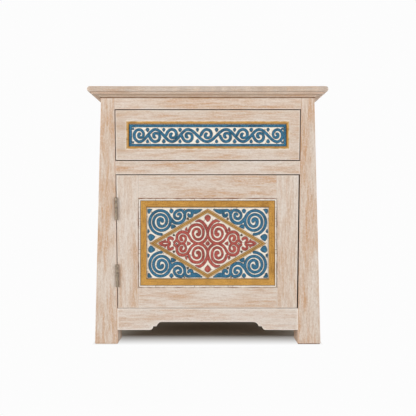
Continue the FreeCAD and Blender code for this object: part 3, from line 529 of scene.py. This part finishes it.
# A painted shadow line along the foot of the cornice, on the cornice, top rail and front legs
CORNICE_SHADOW_LINE = (level_terms(), CORNICE_FOOT, 0.0022, rgb(124, 90, 60), (0.7, 0.95))
RIMS = {
    "top_board": [SLAB_SHADE], "drawer_front": [DRAWER_RIM, DRAWER_SMEAR],
    "door_hinge_stile": door_rim(0.1, 0.75), "door_free_stile": door_rim(0.1, 0.75),
    "door_top_rail": door_rim(0.35, 1.0), "door_bottom_rail": door_rim(0.0, 0.6),
    "cornice_front": [CORNICE_SHADOW_LINE], "cornice_left": [CORNICE_SHADOW_LINE], "cornice_right": [CORNICE_SHADOW_LINE],
    "top_rail": [CORNICE_SHADOW_LINE], "front_leg_left": [CORNICE_SHADOW_LINE], "front_leg_right": [CORNICE_SHADOW_LINE],
}
WORN = {
    "apron": 0.4, "door_bottom_rail": 0.55, "front_leg_right": 0.8, "front_leg_left": 0.65,
    "middle_rail": 0.8, "top_board": 0.6, "door_top_rail": 0.9, "door_hinge_stile": 0.5,
    "door_free_stile": 0.4, "cornice_front": 1.0, "cornice_left": 1.0, "cornice_right": 1.0,
}
USUAL_WEAR = 0.7
WASH = {
    "apron": 0.08, "door_bottom_rail": 0.07, "front_leg_left": -0.01, "front_leg_right": -0.02,
    "cornice_front": -0.25, "cornice_left": -0.25, "cornice_right": -0.25, "door_free_stile": 0.04,
    "door_hinge_stile": 0.03, "top_board": -0.07,
}
PALED = {"apron": 0.95, "drawer_front": 0.55, "top_board": 0.6, "middle_rail": 0.5}
USUAL_PALING = 0.35
RUBBING = 0.5
# Gap colours: a dark painted shade, and a pale painted light for the pieces listed after
PAINTED_GAP_SHADE = rgb(66, 48, 36)
PAINTED_GAP_LIGHT = rgb(244, 232, 220)
LIT_GAP_PIECES = ("apron", "door_bottom_rail", "door_hinge_stile", "front_leg_left")
for number, (node, along) in enumerate(LIMED.items()):
    edge = (RUBBED_EDGE, RUBBING) if "leg" in node else (PALE_EDGE_WEAR_AND_HIGHLIGHT, PALED.get(node, USUAL_PALING))
    gap = PAINTED_GAP_LIGHT if node in LIT_GAP_PIECES else PAINTED_GAP_SHADE
    worn, pale = WORN.get(node, USUAL_WEAR), WASH.get(node, 0.0)
    wood = limed_wood("limed_" + node, along, number + 1, worn, pale, edge, gap, RIMS.get(node, ()))
    dress(node, wood)
    soften(node, WOOD_EDGE)

INNER_LIGHT, INNER_DARK = rgb(214, 184, 146), rgb(190, 152, 110)
PLY_LIGHT, PLY_DARK = rgb(205, 172, 130), rgb(176, 136, 94)
INNER_EDGE = 0.0005
BARE_SEED = 60
PLY_SEED = 90
BARE = {
    "floor_board": "x", "drawer_runner_left": "y", "drawer_runner_right": "y", "drawer_kicker_left": "y",
    "drawer_kicker_right": "y", "top_blocks": "y", "door_stop": "x", "back_top_rail": "x",
    "back_middle_rail": "x", "back_bottom_rail": "x", "drawer_side_left": "y", "drawer_side_right": "y",
    "drawer_back": "x",
}
PLY = {"back_panel": "z", "dust_panel": "x", "drawer_bottom": "x"}
for number, (node, along) in enumerate(BARE.items()):
    dress(node, bare_wood("bare_" + node, along, BARE_SEED + number, INNER_LIGHT, INNER_DARK))
    soften(node, INNER_EDGE)
for number, (node, along) in enumerate(PLY.items()):
    dress(node, bare_wood("ply_" + node, along, PLY_SEED + number, PLY_LIGHT, PLY_DARK))

PLASTIC = rgb(186, 180, 168)
hinge_metal = aged_metal("hinge_metal", 0.3, rgb(116, 104, 90), rgb(146, 132, 114), rgb(62, 54, 45))
screw_metal = aged_metal("screw_metal", 0.8, rgb(150, 142, 130), rgb(182, 174, 160), rgb(92, 84, 74))
for node in nodes:
    if node.endswith("_leaf") or node == "hinge_pins":
        dress(node, hinge_metal)
    elif node.endswith("_screws") or node.endswith("_nails") or node == "door_strike_plate":
        dress(node, screw_metal)
    elif "latch" in node:
        dress(node, moulded_plastic("plastic_" + node, PLASTIC))

dress("door_carved_panel", cream_paint("door_ground", 1.7))
dress("drawer_carved_panel", cream_paint("drawer_ground", 3.1))

BEAD_WIDTH = 0.0046
DRAWER_BEAD_WIDTH = 0.006
LOZENGE_BAND = 0.0076
GILT_WIDTH = 0.0145
GILT_EDGE_LINE = 0.0011
BEAD_EDGE_LINE = 0.0009
LOZENGE_EDGE_LINE = 0.0012
LOZENGE_GROOVE = 0.0011
# Width and segments of the softened edges
SOFTENING = {
    "door_bead": (0.0016, 3), "door_gilt_border": (0.0009, 2),
    "drawer_gilt_bead": (0.0016, 3), "door_gilt_lozenge": (0.0018, 3),
}
GOLD = (rgb(177, 124, 48), rgb(206, 157, 78), rgb(122, 82, 32))
DULL_GOLD = (rgb(186, 140, 74), rgb(212, 168, 100), rgb(126, 90, 44))
lozenge_half = half_of("door_gilt_lozenge")
LOZENGE_OUTER = lozenge_half.x * lozenge_half.z / math.hypot(lozenge_half.x, lozenge_half.z)

dress("door_bead", bead_paint("door_bead_paint", *border_terms("door_bead")[:2], BEAD_WIDTH))
border_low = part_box("door_gilt_border")[0].z
# The lower strip of the gilt border gets painted light
dress("door_gilt_border", gilt_paint("gilt_border", border_terms("door_gilt_border"), *GOLD,
                                     edge_lines(0.0, GILT_WIDTH, GILT_EDGE_LINE),
                                     painted_light_below=border_low + GILT_WIDTH + PAINTED_LIGHT_FADE))
dress("drawer_gilt_bead", gilt_paint("gilt_bead", border_terms("drawer_gilt_bead"), *GOLD,
                                     [(BEAD_EDGE_LINE - DRAWER_BEAD_WIDTH, -DRAWER_BEAD_WIDTH)], True))
dress("door_gilt_lozenge", gilt_paint("gilt_lozenge", lozenge_terms("door_gilt_lozenge"), *DULL_GOLD,
                                      edge_lines(LOZENGE_OUTER, LOZENGE_BAND, LOZENGE_EDGE_LINE),
                                      groove=(LOZENGE_OUTER - LOZENGE_BAND / 2, LOZENGE_GROOVE)))
for node, (width, segments) in SOFTENING.items():
    soften(node, width, segments)


# Carved bands, drawn on a grid whose middle is near the middle of a panel

GRID = 0.002345
BAND_STEP = 0.4
CURVE_STEPS = 6
COIL_STEP = 15
WOBBLE = 0.03
NARROWEST_END = 0.15
LEAST_RISE = 0.45
FULL_RISE_HALF = 0.7
SIDE = 0.24
DAB_FOOT = 0.7
HALF_SECTION = ((1.0, SIDE, -0.3), (1.0, SIDE, 0.3), (0.94, 0.0, 0.85), (0.55, 0.0, 0.97))
BAND_SECTION = [(-share, -side, up) for share, side, up in HALF_SECTION] + [(0.0, 0.0, 1.0)]
BAND_SECTION += HALF_SECTION[::-1]


def coil(centre, radii, angles, width, stretch):
    """Points (x, y, width) on a spiral that runs evenly between two radii and two angles in degrees."""
    count = max(2, round(abs(angles[1] - angles[0]) / COIL_STEP))
    points = []
    for number in range(count + 1):
        share = number / count
        angle = math.radians(angles[0] + (angles[1] - angles[0]) * share)
        radius = radii[0] + (radii[1] - radii[0]) * share
        points.append((centre[0] + radius * math.cos(angle) * stretch[0],
                       centre[1] + radius * math.sin(angle) * stretch[1], width))
    return points


def curve_through(points, closed=False):
    """A smooth line through points of any number of parts."""
    count = len(points)
    line = []
    for number in range(count if closed else count - 1):
        if closed:
            four = [points[(number + step) % count] for step in (-1, 0, 1, 2)]
        else:
            four = [points[min(max(number + step, 0), count - 1)] for step in (-1, 0, 1, 2)]
        for step in range(CURVE_STEPS):
            s = step / CURVE_STEPS
            weights = (-s ** 3 + 2 * s ** 2 - s, 3 * s ** 3 - 5 * s ** 2 + 2,
                       -3 * s ** 3 + 4 * s ** 2 + s, s ** 3 - s ** 2)
            line.append(tuple(sum(weight * part for weight, part in zip(weights, parts)) / 2
                              for parts in zip(*four)))
    return line if closed else line + [tuple(points[-1])]


def even_steps(line, step):
    """The same line with its points a step apart."""
    kept = [line[0]]
    left = step
    for first, second in zip(line, line[1:]):
        length = math.dist(first[:2], second[:2])
        done = 0.0
        while length - done >= left:
            done += left
            share = done / length
            kept.append(tuple(a + (b - a) * share for a, b in zip(first, second)))
            left = step
        left -= length - done
    kept.append(line[-1])
    return kept


class Carving:
    """Raised bands and pebbles on the face of a panel, gathered into one mesh."""

    def __init__(self, name, panel, body, lift, height, material):
        self.name, self.body, self.material, self.height = name, body, material, height
        self.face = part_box(panel)[0].y
        self.middle = centre_of(panel).z + lift * GRID
        self.mesh = bmesh.new()
        self.draw = random.Random(len(name))

    def point(self, x, y, up):
        return self.mesh.verts.new((x * GRID, self.face - up * self.height, self.middle + y * GRID))

    def skin(self, rings, facing):
        """Faces between rings of points, with the ends closed; facing is -1 where a mirror turns them."""
        for ring, following in zip(rings, rings[1:]):
            for number in range(len(ring)):
                after = (number + 1) % len(ring)
                corners = [ring[number], ring[after], following[after], following[number]]
                self.mesh.faces.new(corners[::facing])
        self.mesh.faces.new(rings[0][::-facing])
        self.mesh.faces.new(rings[-1][::facing])

    def band(self, points, mirror=(1, 1), round_ends=True):
        """A band with a rounded top along points (x, y, width)."""
        line = even_steps(curve_through(points), BAND_STEP)
        total = len(line) - 1
        rings = []
        for number, (x, y, width) in enumerate(line):
            before, after = line[max(number - 1, 0)], line[min(number + 1, total)]
            run = Vector((after[0] - before[0], after[1] - before[1])).normalized()
            half = width / 2 * (1 + self.draw.uniform(-WOBBLE, WOBBLE))
            from_end = min(number, total - number) * BAND_STEP
            if round_ends and from_end < half:
                half *= max(NARROWEST_END, math.sqrt(1 - (1 - from_end / half) ** 2))
            rise = min(1.0, LEAST_RISE + (1 - LEAST_RISE) * half / FULL_RISE_HALF)
            ring = []
            for share, side, up in BAND_SECTION:
                out = half * share + side
                ring.append(self.point(mirror[0] * (x - run.y * out), mirror[1] * (y + run.x * out),
                                       up * (rise if up > 0 else 1.0)))
            rings.append(ring)
        self.skin(rings, mirror[0] * mirror[1])

    def pebble(self, corners, mirror=(1, 1)):
        """A low rounded lump with a smooth outline through the corners, which run anticlockwise."""
        outline = curve_through(corners, True)
        middle = [sum(corner[part] for corner in corners) / len(corners) for part in (0, 1)]
        rings = []
        for share, side, up in HALF_SECTION:
            ring = []
            for corner in outline:
                size = share + side / math.dist(middle, corner)
                x, y = (m + (c - m) * size for m, c in zip(middle, corner))
                ring.append(self.point(mirror[0] * x, mirror[1] * y, up))
            rings.append(ring)
        self.skin(rings, -mirror[0] * mirror[1])

    def dab(self, x, y, size, mirror=(1, 1)):
        """A small three-cornered lump."""
        foot = y - size * DAB_FOOT
        self.pebble([(x, y + size), (x - size, foot), (x + size, foot)], mirror)

    def strip(self, first, second, width):
        """A straight band with square ends."""
        self.band([(*first, width), (*second, width)], round_ends=False)

    def finish(self):
        """Makes the object and lets it ride on its body."""
        bmesh.ops.recalc_face_normals(self.mesh, faces=self.mesh.faces)
        data = bpy.data.meshes.new(self.name)
        self.mesh.to_mesh(data)
        self.mesh.free()
        for face in data.polygons:
            face.use_smooth = True
        data.materials.append(self.material)
        item = bpy.data.objects.new(self.name, data)
        bpy.context.scene.collection.objects.link(item)
        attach(item, self.body)


QUARTERS = [(1, 1), (-1, 1), (1, -1), (-1, -1)]
BLUE = relief_paint("blue_relief", 0.6, rgb(32, 82, 107), rgb(62, 128, 162), rgb(18, 34, 42))
RED = relief_paint("red_relief", 2.2, rgb(148, 58, 48), rgb(200, 104, 92), rgb(78, 30, 24))
# Dark brown for the dabs between the scrolls: glaze and painted shade
DARK_DAB_PAINT = relief_paint("dark_dab_relief", 4.1, rgb(78, 64, 52), rgb(104, 88, 72), rgb(46, 36, 28))
DOOR_RELIEF = 0.0017
DARK_DAB_RELIEF = 0.0008

# Blue scrolls in the corners of the door panel, drawn once at the upper left

BLUE_LIFT = -0.4
BLUE_BAND = 2.4
BLUE_EYE = (-46.8, 21.9)
BLUE_RADII = (13.0, 5.0)
BLUE_ANGLES = (278, -450)
BLUE_STRETCH = (0.95, 1.0)
LINK_RADII = (10.6, 9.9)
LINK_ANGLES = (70, 30)
LINK_STRETCH = (0.96, 1.0)
BLUE_CORE = ((-2.0, -3.6, 2.8), (-2.75, -0.6, 2.9), (-2.2, 1.6, 3.3), (-0.5, 2.4, 3.4), (1.0, 1.6, 3.3),
             (1.25, 0.0, 3.0), (1.0, -1.3, 2.4))
BLUE_STEM = ((-36.1, 23.4, 3.0), (-33.2, 20.8, 2.9), (-30.1, 20.1, 2.7), (-27.1, 21.0, 2.7),
             (-24.4, 23.1, 2.7), (-23.1, 25.8, 2.6), (-23.0, 28.5, 2.5), (-22.5, 30.8, 2.4),
             (-21.3, 32.4, 2.4), (-19.6, 33.0, 2.5), (-17.0, 32.8, 2.7), (-14.8, 32.4, 3.4),
             (-12.7, 31.8, 4.5), (-10.2, 32.3, 3.6), (-7.9, 33.1, 2.2), (-6.2, 33.7, 0.9),
             (-5.4, 34.0, 0.4))
BLUE_CURL = ((-23.5, 29.7, 2.0), (-25.0, 32.4, 2.2), (-26.4, 33.2, 2.4), (-28.3, 33.1, 2.6),
             (-30.4, 32.6, 2.5), (-32.0, 31.4, 2.4), (-33.3, 29.7, 2.3), (-33.5, 27.8, 2.3),
             (-33.1, 26.4, 2.5), (-32.0, 25.2, 2.6), (-29.8, 24.6, 2.5), (-27.8, 25.5, 2.4),
             (-27.0, 27.3, 2.3), (-27.4, 29.0, 2.6), (-28.6, 29.5, 2.6), (-29.6, 28.6, 2.3),
             (-29.9, 27.8, 1.6))
BLUE_COMMA = ((-15.9, 32.4, 2.6), (-15.6, 30.1, 2.5), (-16.1, 28.1, 2.9), (-17.5, 27.4, 3.3),
              (-19.0, 28.2, 2.7), (-19.2, 29.4, 1.9), (-18.7, 30.1, 1.0))
BLUE_PEBBLES = (
    ((-59.7, 34.2), (-59.8, 31.0), (-58.6, 29.7), (-57.0, 32.4), (-55.7, 33.9)),
    ((-36.3, 34.5), (-38.3, 32.6), (-36.4, 30.1), (-34.4, 32.6)),
    ((-35.8, 18.9), (-36.4, 14.7), (-31.8, 17.0)),
    ((-57.0, 9.3), (-59.2, 7.8), (-59.3, 5.3), (-57.3, 2.4), (-54.1, 4.6), (-53.1, 7.0)),
    ((-59.7, 14.2), (-60.0, 10.4), (-58.3, 11.8)),
)

blue = Carving("door_blue_scrolls", "door_carved_panel", "door", BLUE_LIFT, DOOR_RELIEF, BLUE)
scroll = coil(BLUE_EYE, BLUE_RADII, BLUE_ANGLES, BLUE_BAND, BLUE_STRETCH)
scroll += [(BLUE_EYE[0] + x, BLUE_EYE[1] + y, width) for x, y, width in BLUE_CORE]
stem = coil(BLUE_EYE, LINK_RADII, LINK_ANGLES, BLUE_BAND, LINK_STRETCH) + list(BLUE_STEM)
for mirror in QUARTERS:
    for line in (scroll, stem, BLUE_CURL, BLUE_COMMA):
        blue.band(line, mirror)
    for corners in BLUE_PEBBLES:
        blue.pebble(corners, mirror)
blue.finish()

# Red scrolls inside the lozenge, drawn once at the upper left

RED_STEM = ((-12.6, 22.0, 0.5), (-10.5, 22.4, 1.6), (-8.3, 22.9, 2.5), (-5.6, 21.5, 2.6),
            (-3.4, 19.2, 2.6), (-2.0, 16.9, 2.6), (-1.0, 14.5, 2.2), (-0.6, 12.2, 1.7),
            (-0.5, 10.2, 1.3), (-0.6, 7.9, 1.5), (-1.1, 5.9, 2.0), (-2.1, 4.1, 2.4), (-3.9, 2.1, 2.5),
            (-6.4, 0.8, 2.3), (-9.5, 0.3, 1.6), (-12.6, 0.8, 2.1), (-15.0, 2.2, 2.3), (-16.1, 3.1, 2.2),
            (-17.9, 5.5, 2.1), (-19.1, 7.9, 2.3), (-20.5, 9.7, 2.4), (-22.4, 11.0, 2.6),
            (-25.0, 11.6, 2.8), (-27.4, 11.2, 2.7), (-29.4, 9.9, 2.6), (-30.7, 7.8, 2.3),
            (-30.9, 5.0, 2.2), (-31.5, 3.4, 2.0), (-32.6, 1.9, 2.1), (-34.5, 0.5, 2.0))
RED_SCROLL = ((-19.2, 10.4, 1.9), (-18.7, 12.6, 2.2), (-17.6, 15.4, 2.4), (-15.6, 17.6, 2.7),
              (-13.2, 18.6, 2.6), (-10.7, 18.9, 2.4), (-8.0, 18.3, 2.4), (-5.7, 16.4, 2.4),
              (-4.5, 13.6, 2.2), (-4.3, 10.6, 2.1), (-4.9, 7.5, 2.1), (-6.5, 5.2, 2.2),
              (-9.3, 4.0, 2.3), (-12.1, 4.8, 2.2), (-13.8, 6.7, 2.0), (-14.8, 9.5, 1.9),
              (-14.4, 12.2, 2.1), (-13.0, 14.0, 2.1), (-10.9, 14.7, 2.2), (-9.0, 13.9, 2.4),
              (-8.2, 12.0, 2.7), (-8.5, 10.0, 3.2), (-9.5, 9.0, 3.6), (-10.5, 9.7, 2.8),
              (-11.2, 10.7, 1.4))
RED_CURL = ((-30.6, 4.1, 2.0), (-29.6, 2.1, 2.2), (-27.7, 0.6, 2.1), (-26.0, 0.3, 1.6),
            (-23.8, 0.9, 2.1), (-22.4, 2.7, 2.0), (-21.9, 5.0, 1.9), (-22.7, 7.0, 2.1),
            (-24.7, 8.0, 2.2), (-26.5, 7.3, 2.4), (-27.0, 5.7, 2.7), (-26.4, 4.0, 3.0),
            (-25.4, 3.6, 2.3), (-24.7, 4.1, 1.2))
RED_HOOK = ((-36.9, 0.4, 1.8), (-38.5, 1.1, 2.3), (-39.4, 2.7, 1.9), (-39.4, 4.5, 2.4),
            (-37.8, 5.8, 2.5), (-36.1, 5.2, 2.8), (-35.3, 4.3, 2.5), (-35.9, 3.2, 1.6))
RED_LEAF = ((-49.0, 0.1, 0.4), (-47.4, 0.5, 1.6), (-46.0, 1.1, 2.2), (-44.4, 1.7, 2.0),
            (-42.8, 1.9, 2.3), (-41.2, 1.4, 1.5), (-39.1, 1.2, 1.8))
RED_PEBBLES = (((-21.2, 16.3), (-22.7, 13.6), (-20.4, 12.9)), ((-42.7, 4.2), (-43.5, 2.6), (-41.8, 2.6)))
RED_DROP = ((0.0, 28.7), (-2.4, 27.2), (-2.9, 25.3), (-1.5, 23.2), (0.0, 21.8), (1.5, 23.2),
            (2.9, 25.3), (2.4, 27.2))
RED_CENTRE = ((-2.0, 0.0), (0.0, -2.1), (2.0, 0.0), (0.0, 2.1))
RED_SIDE = ((-20.2, 1.9), (-20.5, 0.0), (-20.2, -1.9), (-17.0, 0.0))
RED_LIFT = -0.6

red = Carving("door_red_scrolls", "door_carved_panel", "door", RED_LIFT, DOOR_RELIEF, RED)
for mirror in QUARTERS:
    for line in (RED_STEM, RED_SCROLL, RED_CURL, RED_HOOK, RED_LEAF):
        red.band(line, mirror)
    for corners in RED_PEBBLES:
        red.pebble(corners, mirror)
red.pebble(RED_CENTRE)
for side in (-1, 1):
    red.pebble(RED_DROP, (1, side))
    red.pebble(RED_SIDE, (side, 1))
red.finish()

# Dark brown dabs between the scrolls: brown glaze and painted shade in the deep corners of the carved
# ground

DARK_DAB_LIFT = -0.5
DARK_DABS = ((-20.1, 24.9, 1.1), (-33.9, 8.4, 1.1), (-23.4, 33.9, 0.6))
DARK_DAB_SIDE = (-31.2, -0.3, 0.6)

dark_dabs = Carving("door_stain_dabs", "door_carved_panel", "door", DARK_DAB_LIFT, DARK_DAB_RELIEF, DARK_DAB_PAINT)
for mirror in QUARTERS:
    for dab in DARK_DABS:
        dark_dabs.dab(*dab, mirror)
for side in (-1, 1):
    dark_dabs.dab(*DARK_DAB_SIDE, (side, 1))
dark_dabs.finish()

# Running scroll on the drawer, inside a border

SCROLL_PLACES = (-68.0, -52.3, -35.6, -19.8, -0.7, 18.5, 35.4, 51.6, 69.2)
WAVE_LIFT = -0.4
WAVE_RISE = 6.1
WAVE_BAND = 2.4
WAVE_STEPS = 8
DRAWER_RELIEF = 0.0016
BORDER_HALF = (77.2, 9.75)
BORDER_BAND = 2.4
PEBBLE_TOP = 7.5
PEBBLE_WAIST = 6.2
PEBBLE_FOOT = 5.3
LARGE_PEBBLE = 1.7
SMALL_PEBBLE = 1.4
CORNER_DAB = (-74.6, 6.8, 1.0)
END_SCROLL = ((1.6, -6.2, 2.4), (-1.2, -6.1, 2.4), (-3.8, -4.4, 2.4), (-5.4, -1.4, 2.5),
              (-5.4, 1.8, 2.5), (-3.8, 4.6, 2.4), (-1.2, 5.9, 2.4), (1.6, 5.3, 2.3), (3.4, 3.2, 2.2),
              (3.8, 0.7, 2.1), (2.7, -1.5, 2.1), (0.8, -2.1, 2.3), (-0.7, -1.4, 2.6), (-1.1, 0.2, 2.7),
              (-0.6, 1.5, 2.8), (0.3, 1.5, 2.4), (0.4, 0.7, 1.4))
INNER_SCROLL = ((-6.4, -0.8, 2.2), (-5.3, 2.2, 2.4), (-3.1, 5.1, 2.4), (-0.1, 6.1, 2.4),
                (2.9, 4.9, 2.5), (4.3, 1.9, 2.5), (3.5, -1.2, 2.3), (0.7, -2.4, 2.2), (-1.4, -1.5, 2.5),
                (-1.7, 0.5, 2.7), (-0.6, 1.7, 2.5), (0.4, 1.1, 1.4))

wave = Carving("drawer_blue_scrolls", "drawer_carved_panel", "drawer", WAVE_LIFT, DRAWER_RELIEF, BLUE)
last = len(SCROLL_PLACES) - 1
for number, middle in enumerate(SCROLL_PLACES):
    line = END_SCROLL if number in (0, last) else INNER_SCROLL
    turn = -1 if number == last else 1
    side = -1 if number % 2 else 1
    wave.band([(middle + turn * x, side * y, width) for x, y, width in line])
stem = []
for step in range(last * WAVE_STEPS + 1):
    number = min(step // WAVE_STEPS, last - 1)
    share = step / WAVE_STEPS - number
    x = SCROLL_PLACES[number] * (1 - share) + SCROLL_PLACES[number + 1] * share
    stem.append((x, -WAVE_RISE * math.cos(math.pi * (number + share)), WAVE_BAND))
wave.band(stem)
for number, (x, following) in enumerate(zip(SCROLL_PLACES, SCROLL_PLACES[1:])):
    middle = (x + following) / 2
    for up in (-1, 1):
        half = LARGE_PEBBLE if (up > 0) == (number % 2 == 0) else SMALL_PEBBLE
        wave.pebble([(middle, PEBBLE_TOP), (middle - half, PEBBLE_WAIST),
                     (middle, PEBBLE_FOOT - half), (middle + half, PEBBLE_WAIST)], (1, up))
for mirror in QUARTERS:
    wave.dab(*CORNER_DAB, mirror)
across, up = BORDER_HALF
for side in (-1, 1):
    wave.strip((-across - BORDER_BAND / 2, side * up), (across + BORDER_BAND / 2, side * up), BORDER_BAND)
    wave.strip((side * across, -up), (side * across, up), BORDER_BAND)
wave.finish()


# Floor, world, lamps and camera

WHITE = 0.975
WORLD_LIGHT = 0.20
FLOOR_LIGHT = 0.44


def seen_white(tree, level):
    """White to the camera, a mirror or a glass, and a plain light level to all else."""
    path = tree.node("LightPath").outputs
    mirrored = tree.math("MAXIMUM", path["Is Glossy Ray"], path["Is Transmission Ray"])
    return tree.span(tree.math("MAXIMUM", path["Is Camera Ray"], mirrored), 0.0, 1.0, level, WHITE)


world = bpy.data.worlds.new("studio")
bpy.context.scene.world = world
world.use_nodes = True
sky = Tree(world.node_tree)
backdrop = sky.tree.nodes["Background"]
backdrop.inputs["Color"].default_value = (1, 1, 1, 1)
sky.feed(backdrop.inputs["Strength"], seen_white(sky, WORLD_LIGHT))

FLOOR_HALF = 30.0
FLOOR_DROP = 0.0002
FOOT_MIDDLE = (0.0, 0.042)
FOOT_HALF = (0.2645, 0.11)
SHADOW_FADE = (0.006, 0.12)
# The floor under the object is painted darker and warmer: painted shade that deepens its shadow
SHADED_PAPER = (0.45, 0.42, 0.37, 1.0)

floor_mesh = bpy.data.meshes.new("floor")
corners = [(x * FLOOR_HALF, y * FLOOR_HALF, -FLOOR_DROP) for x, y in ((-1, -1), (1, -1), (1, 1), (-1, 1))]
floor_mesh.from_pydata(corners, [], [(0, 1, 2, 3)])
floor = bpy.data.objects.new("floor", floor_mesh)
bpy.context.scene.collection.objects.link(floor)

ground = Paint("floor_paper")
ground.feed(ground.shader.inputs["Base Color"], SHADED_PAPER)
ground.feed(ground.shader.inputs["Roughness"], 0.9)
ground.feed(ground.shader.inputs["Specular IOR Level"], 0.0)
glow = ground.node("Emission", {"Color": (1, 1, 1, 1), "Strength": seen_white(ground, FLOOR_LIGHT)})
outside = []
for place, middle, half, fade in zip(ground.axes(), FOOT_MIDDLE, FOOT_HALF, SHADOW_FADE):
    away = ground.math("ABSOLUTE", ground.math("SUBTRACT", place, middle))
    outside.append(ground.span(away, half, half + fade))
far = ground.math("MAXIMUM", *outside)
blend = ground.node("MixShader", {0: far, 1: ground.shader.outputs[0], 2: glow.outputs[0]})
ground.tree.links.new(blend.outputs[0], ground.tree.nodes["Material Output"].inputs["Surface"])
floor_mesh.materials.append(ground.material)


LAMP_AIM = Vector((0, 0, 0.3))


def lamp(name, place, size, power):
    """A round soft lamp that faces the middle of the object."""
    data = bpy.data.lights.new(name, "AREA")
    data.shape = "DISK"
    data.size = size
    data.energy = power
    item = bpy.data.objects.new(name, data)
    item.location = place
    item.rotation_euler = (LAMP_AIM - Vector(place)).to_track_quat("-Z", "Y").to_euler()
    bpy.context.scene.collection.objects.link(item)


lamp("key", (-2.2, -2.3, 0.55), 1.8, 61)
lamp("fill", (2.2, -2.3, 0.4), 1.8, 58)
lamp("overhead", (0, 0.5, 2.6), 1.4, 22)
lamp("left_side", (-2.8, 0.6, 1.0), 1.4, 28)
lamp("right_side", (2.8, 0.6, 1.0), 1.4, 28)
lamp("behind", (0.6, 2.8, 1.1), 1.6, 46)

CAMERA_PLACE = (0.0007, -1.8805, 0.3447)
SENSOR_WIDTH = 36
LENS = 62.8
PHOTO_WIDTH = 416
PICTURE_SHIFT = -10.9 / PHOTO_WIDTH
camera_data = bpy.data.cameras.new("camera")
camera_data.sensor_width = SENSOR_WIDTH
camera_data.lens = LENS
camera_data.shift_y = PICTURE_SHIFT
camera = bpy.data.objects.new("camera", camera_data)
camera.location = CAMERA_PLACE
camera.rotation_euler = (math.radians(90), 0, 0)
bpy.context.scene.collection.objects.link(camera)
bpy.context.scene.camera = camera
bpy.context.scene.view_settings.view_transform = "Standard"
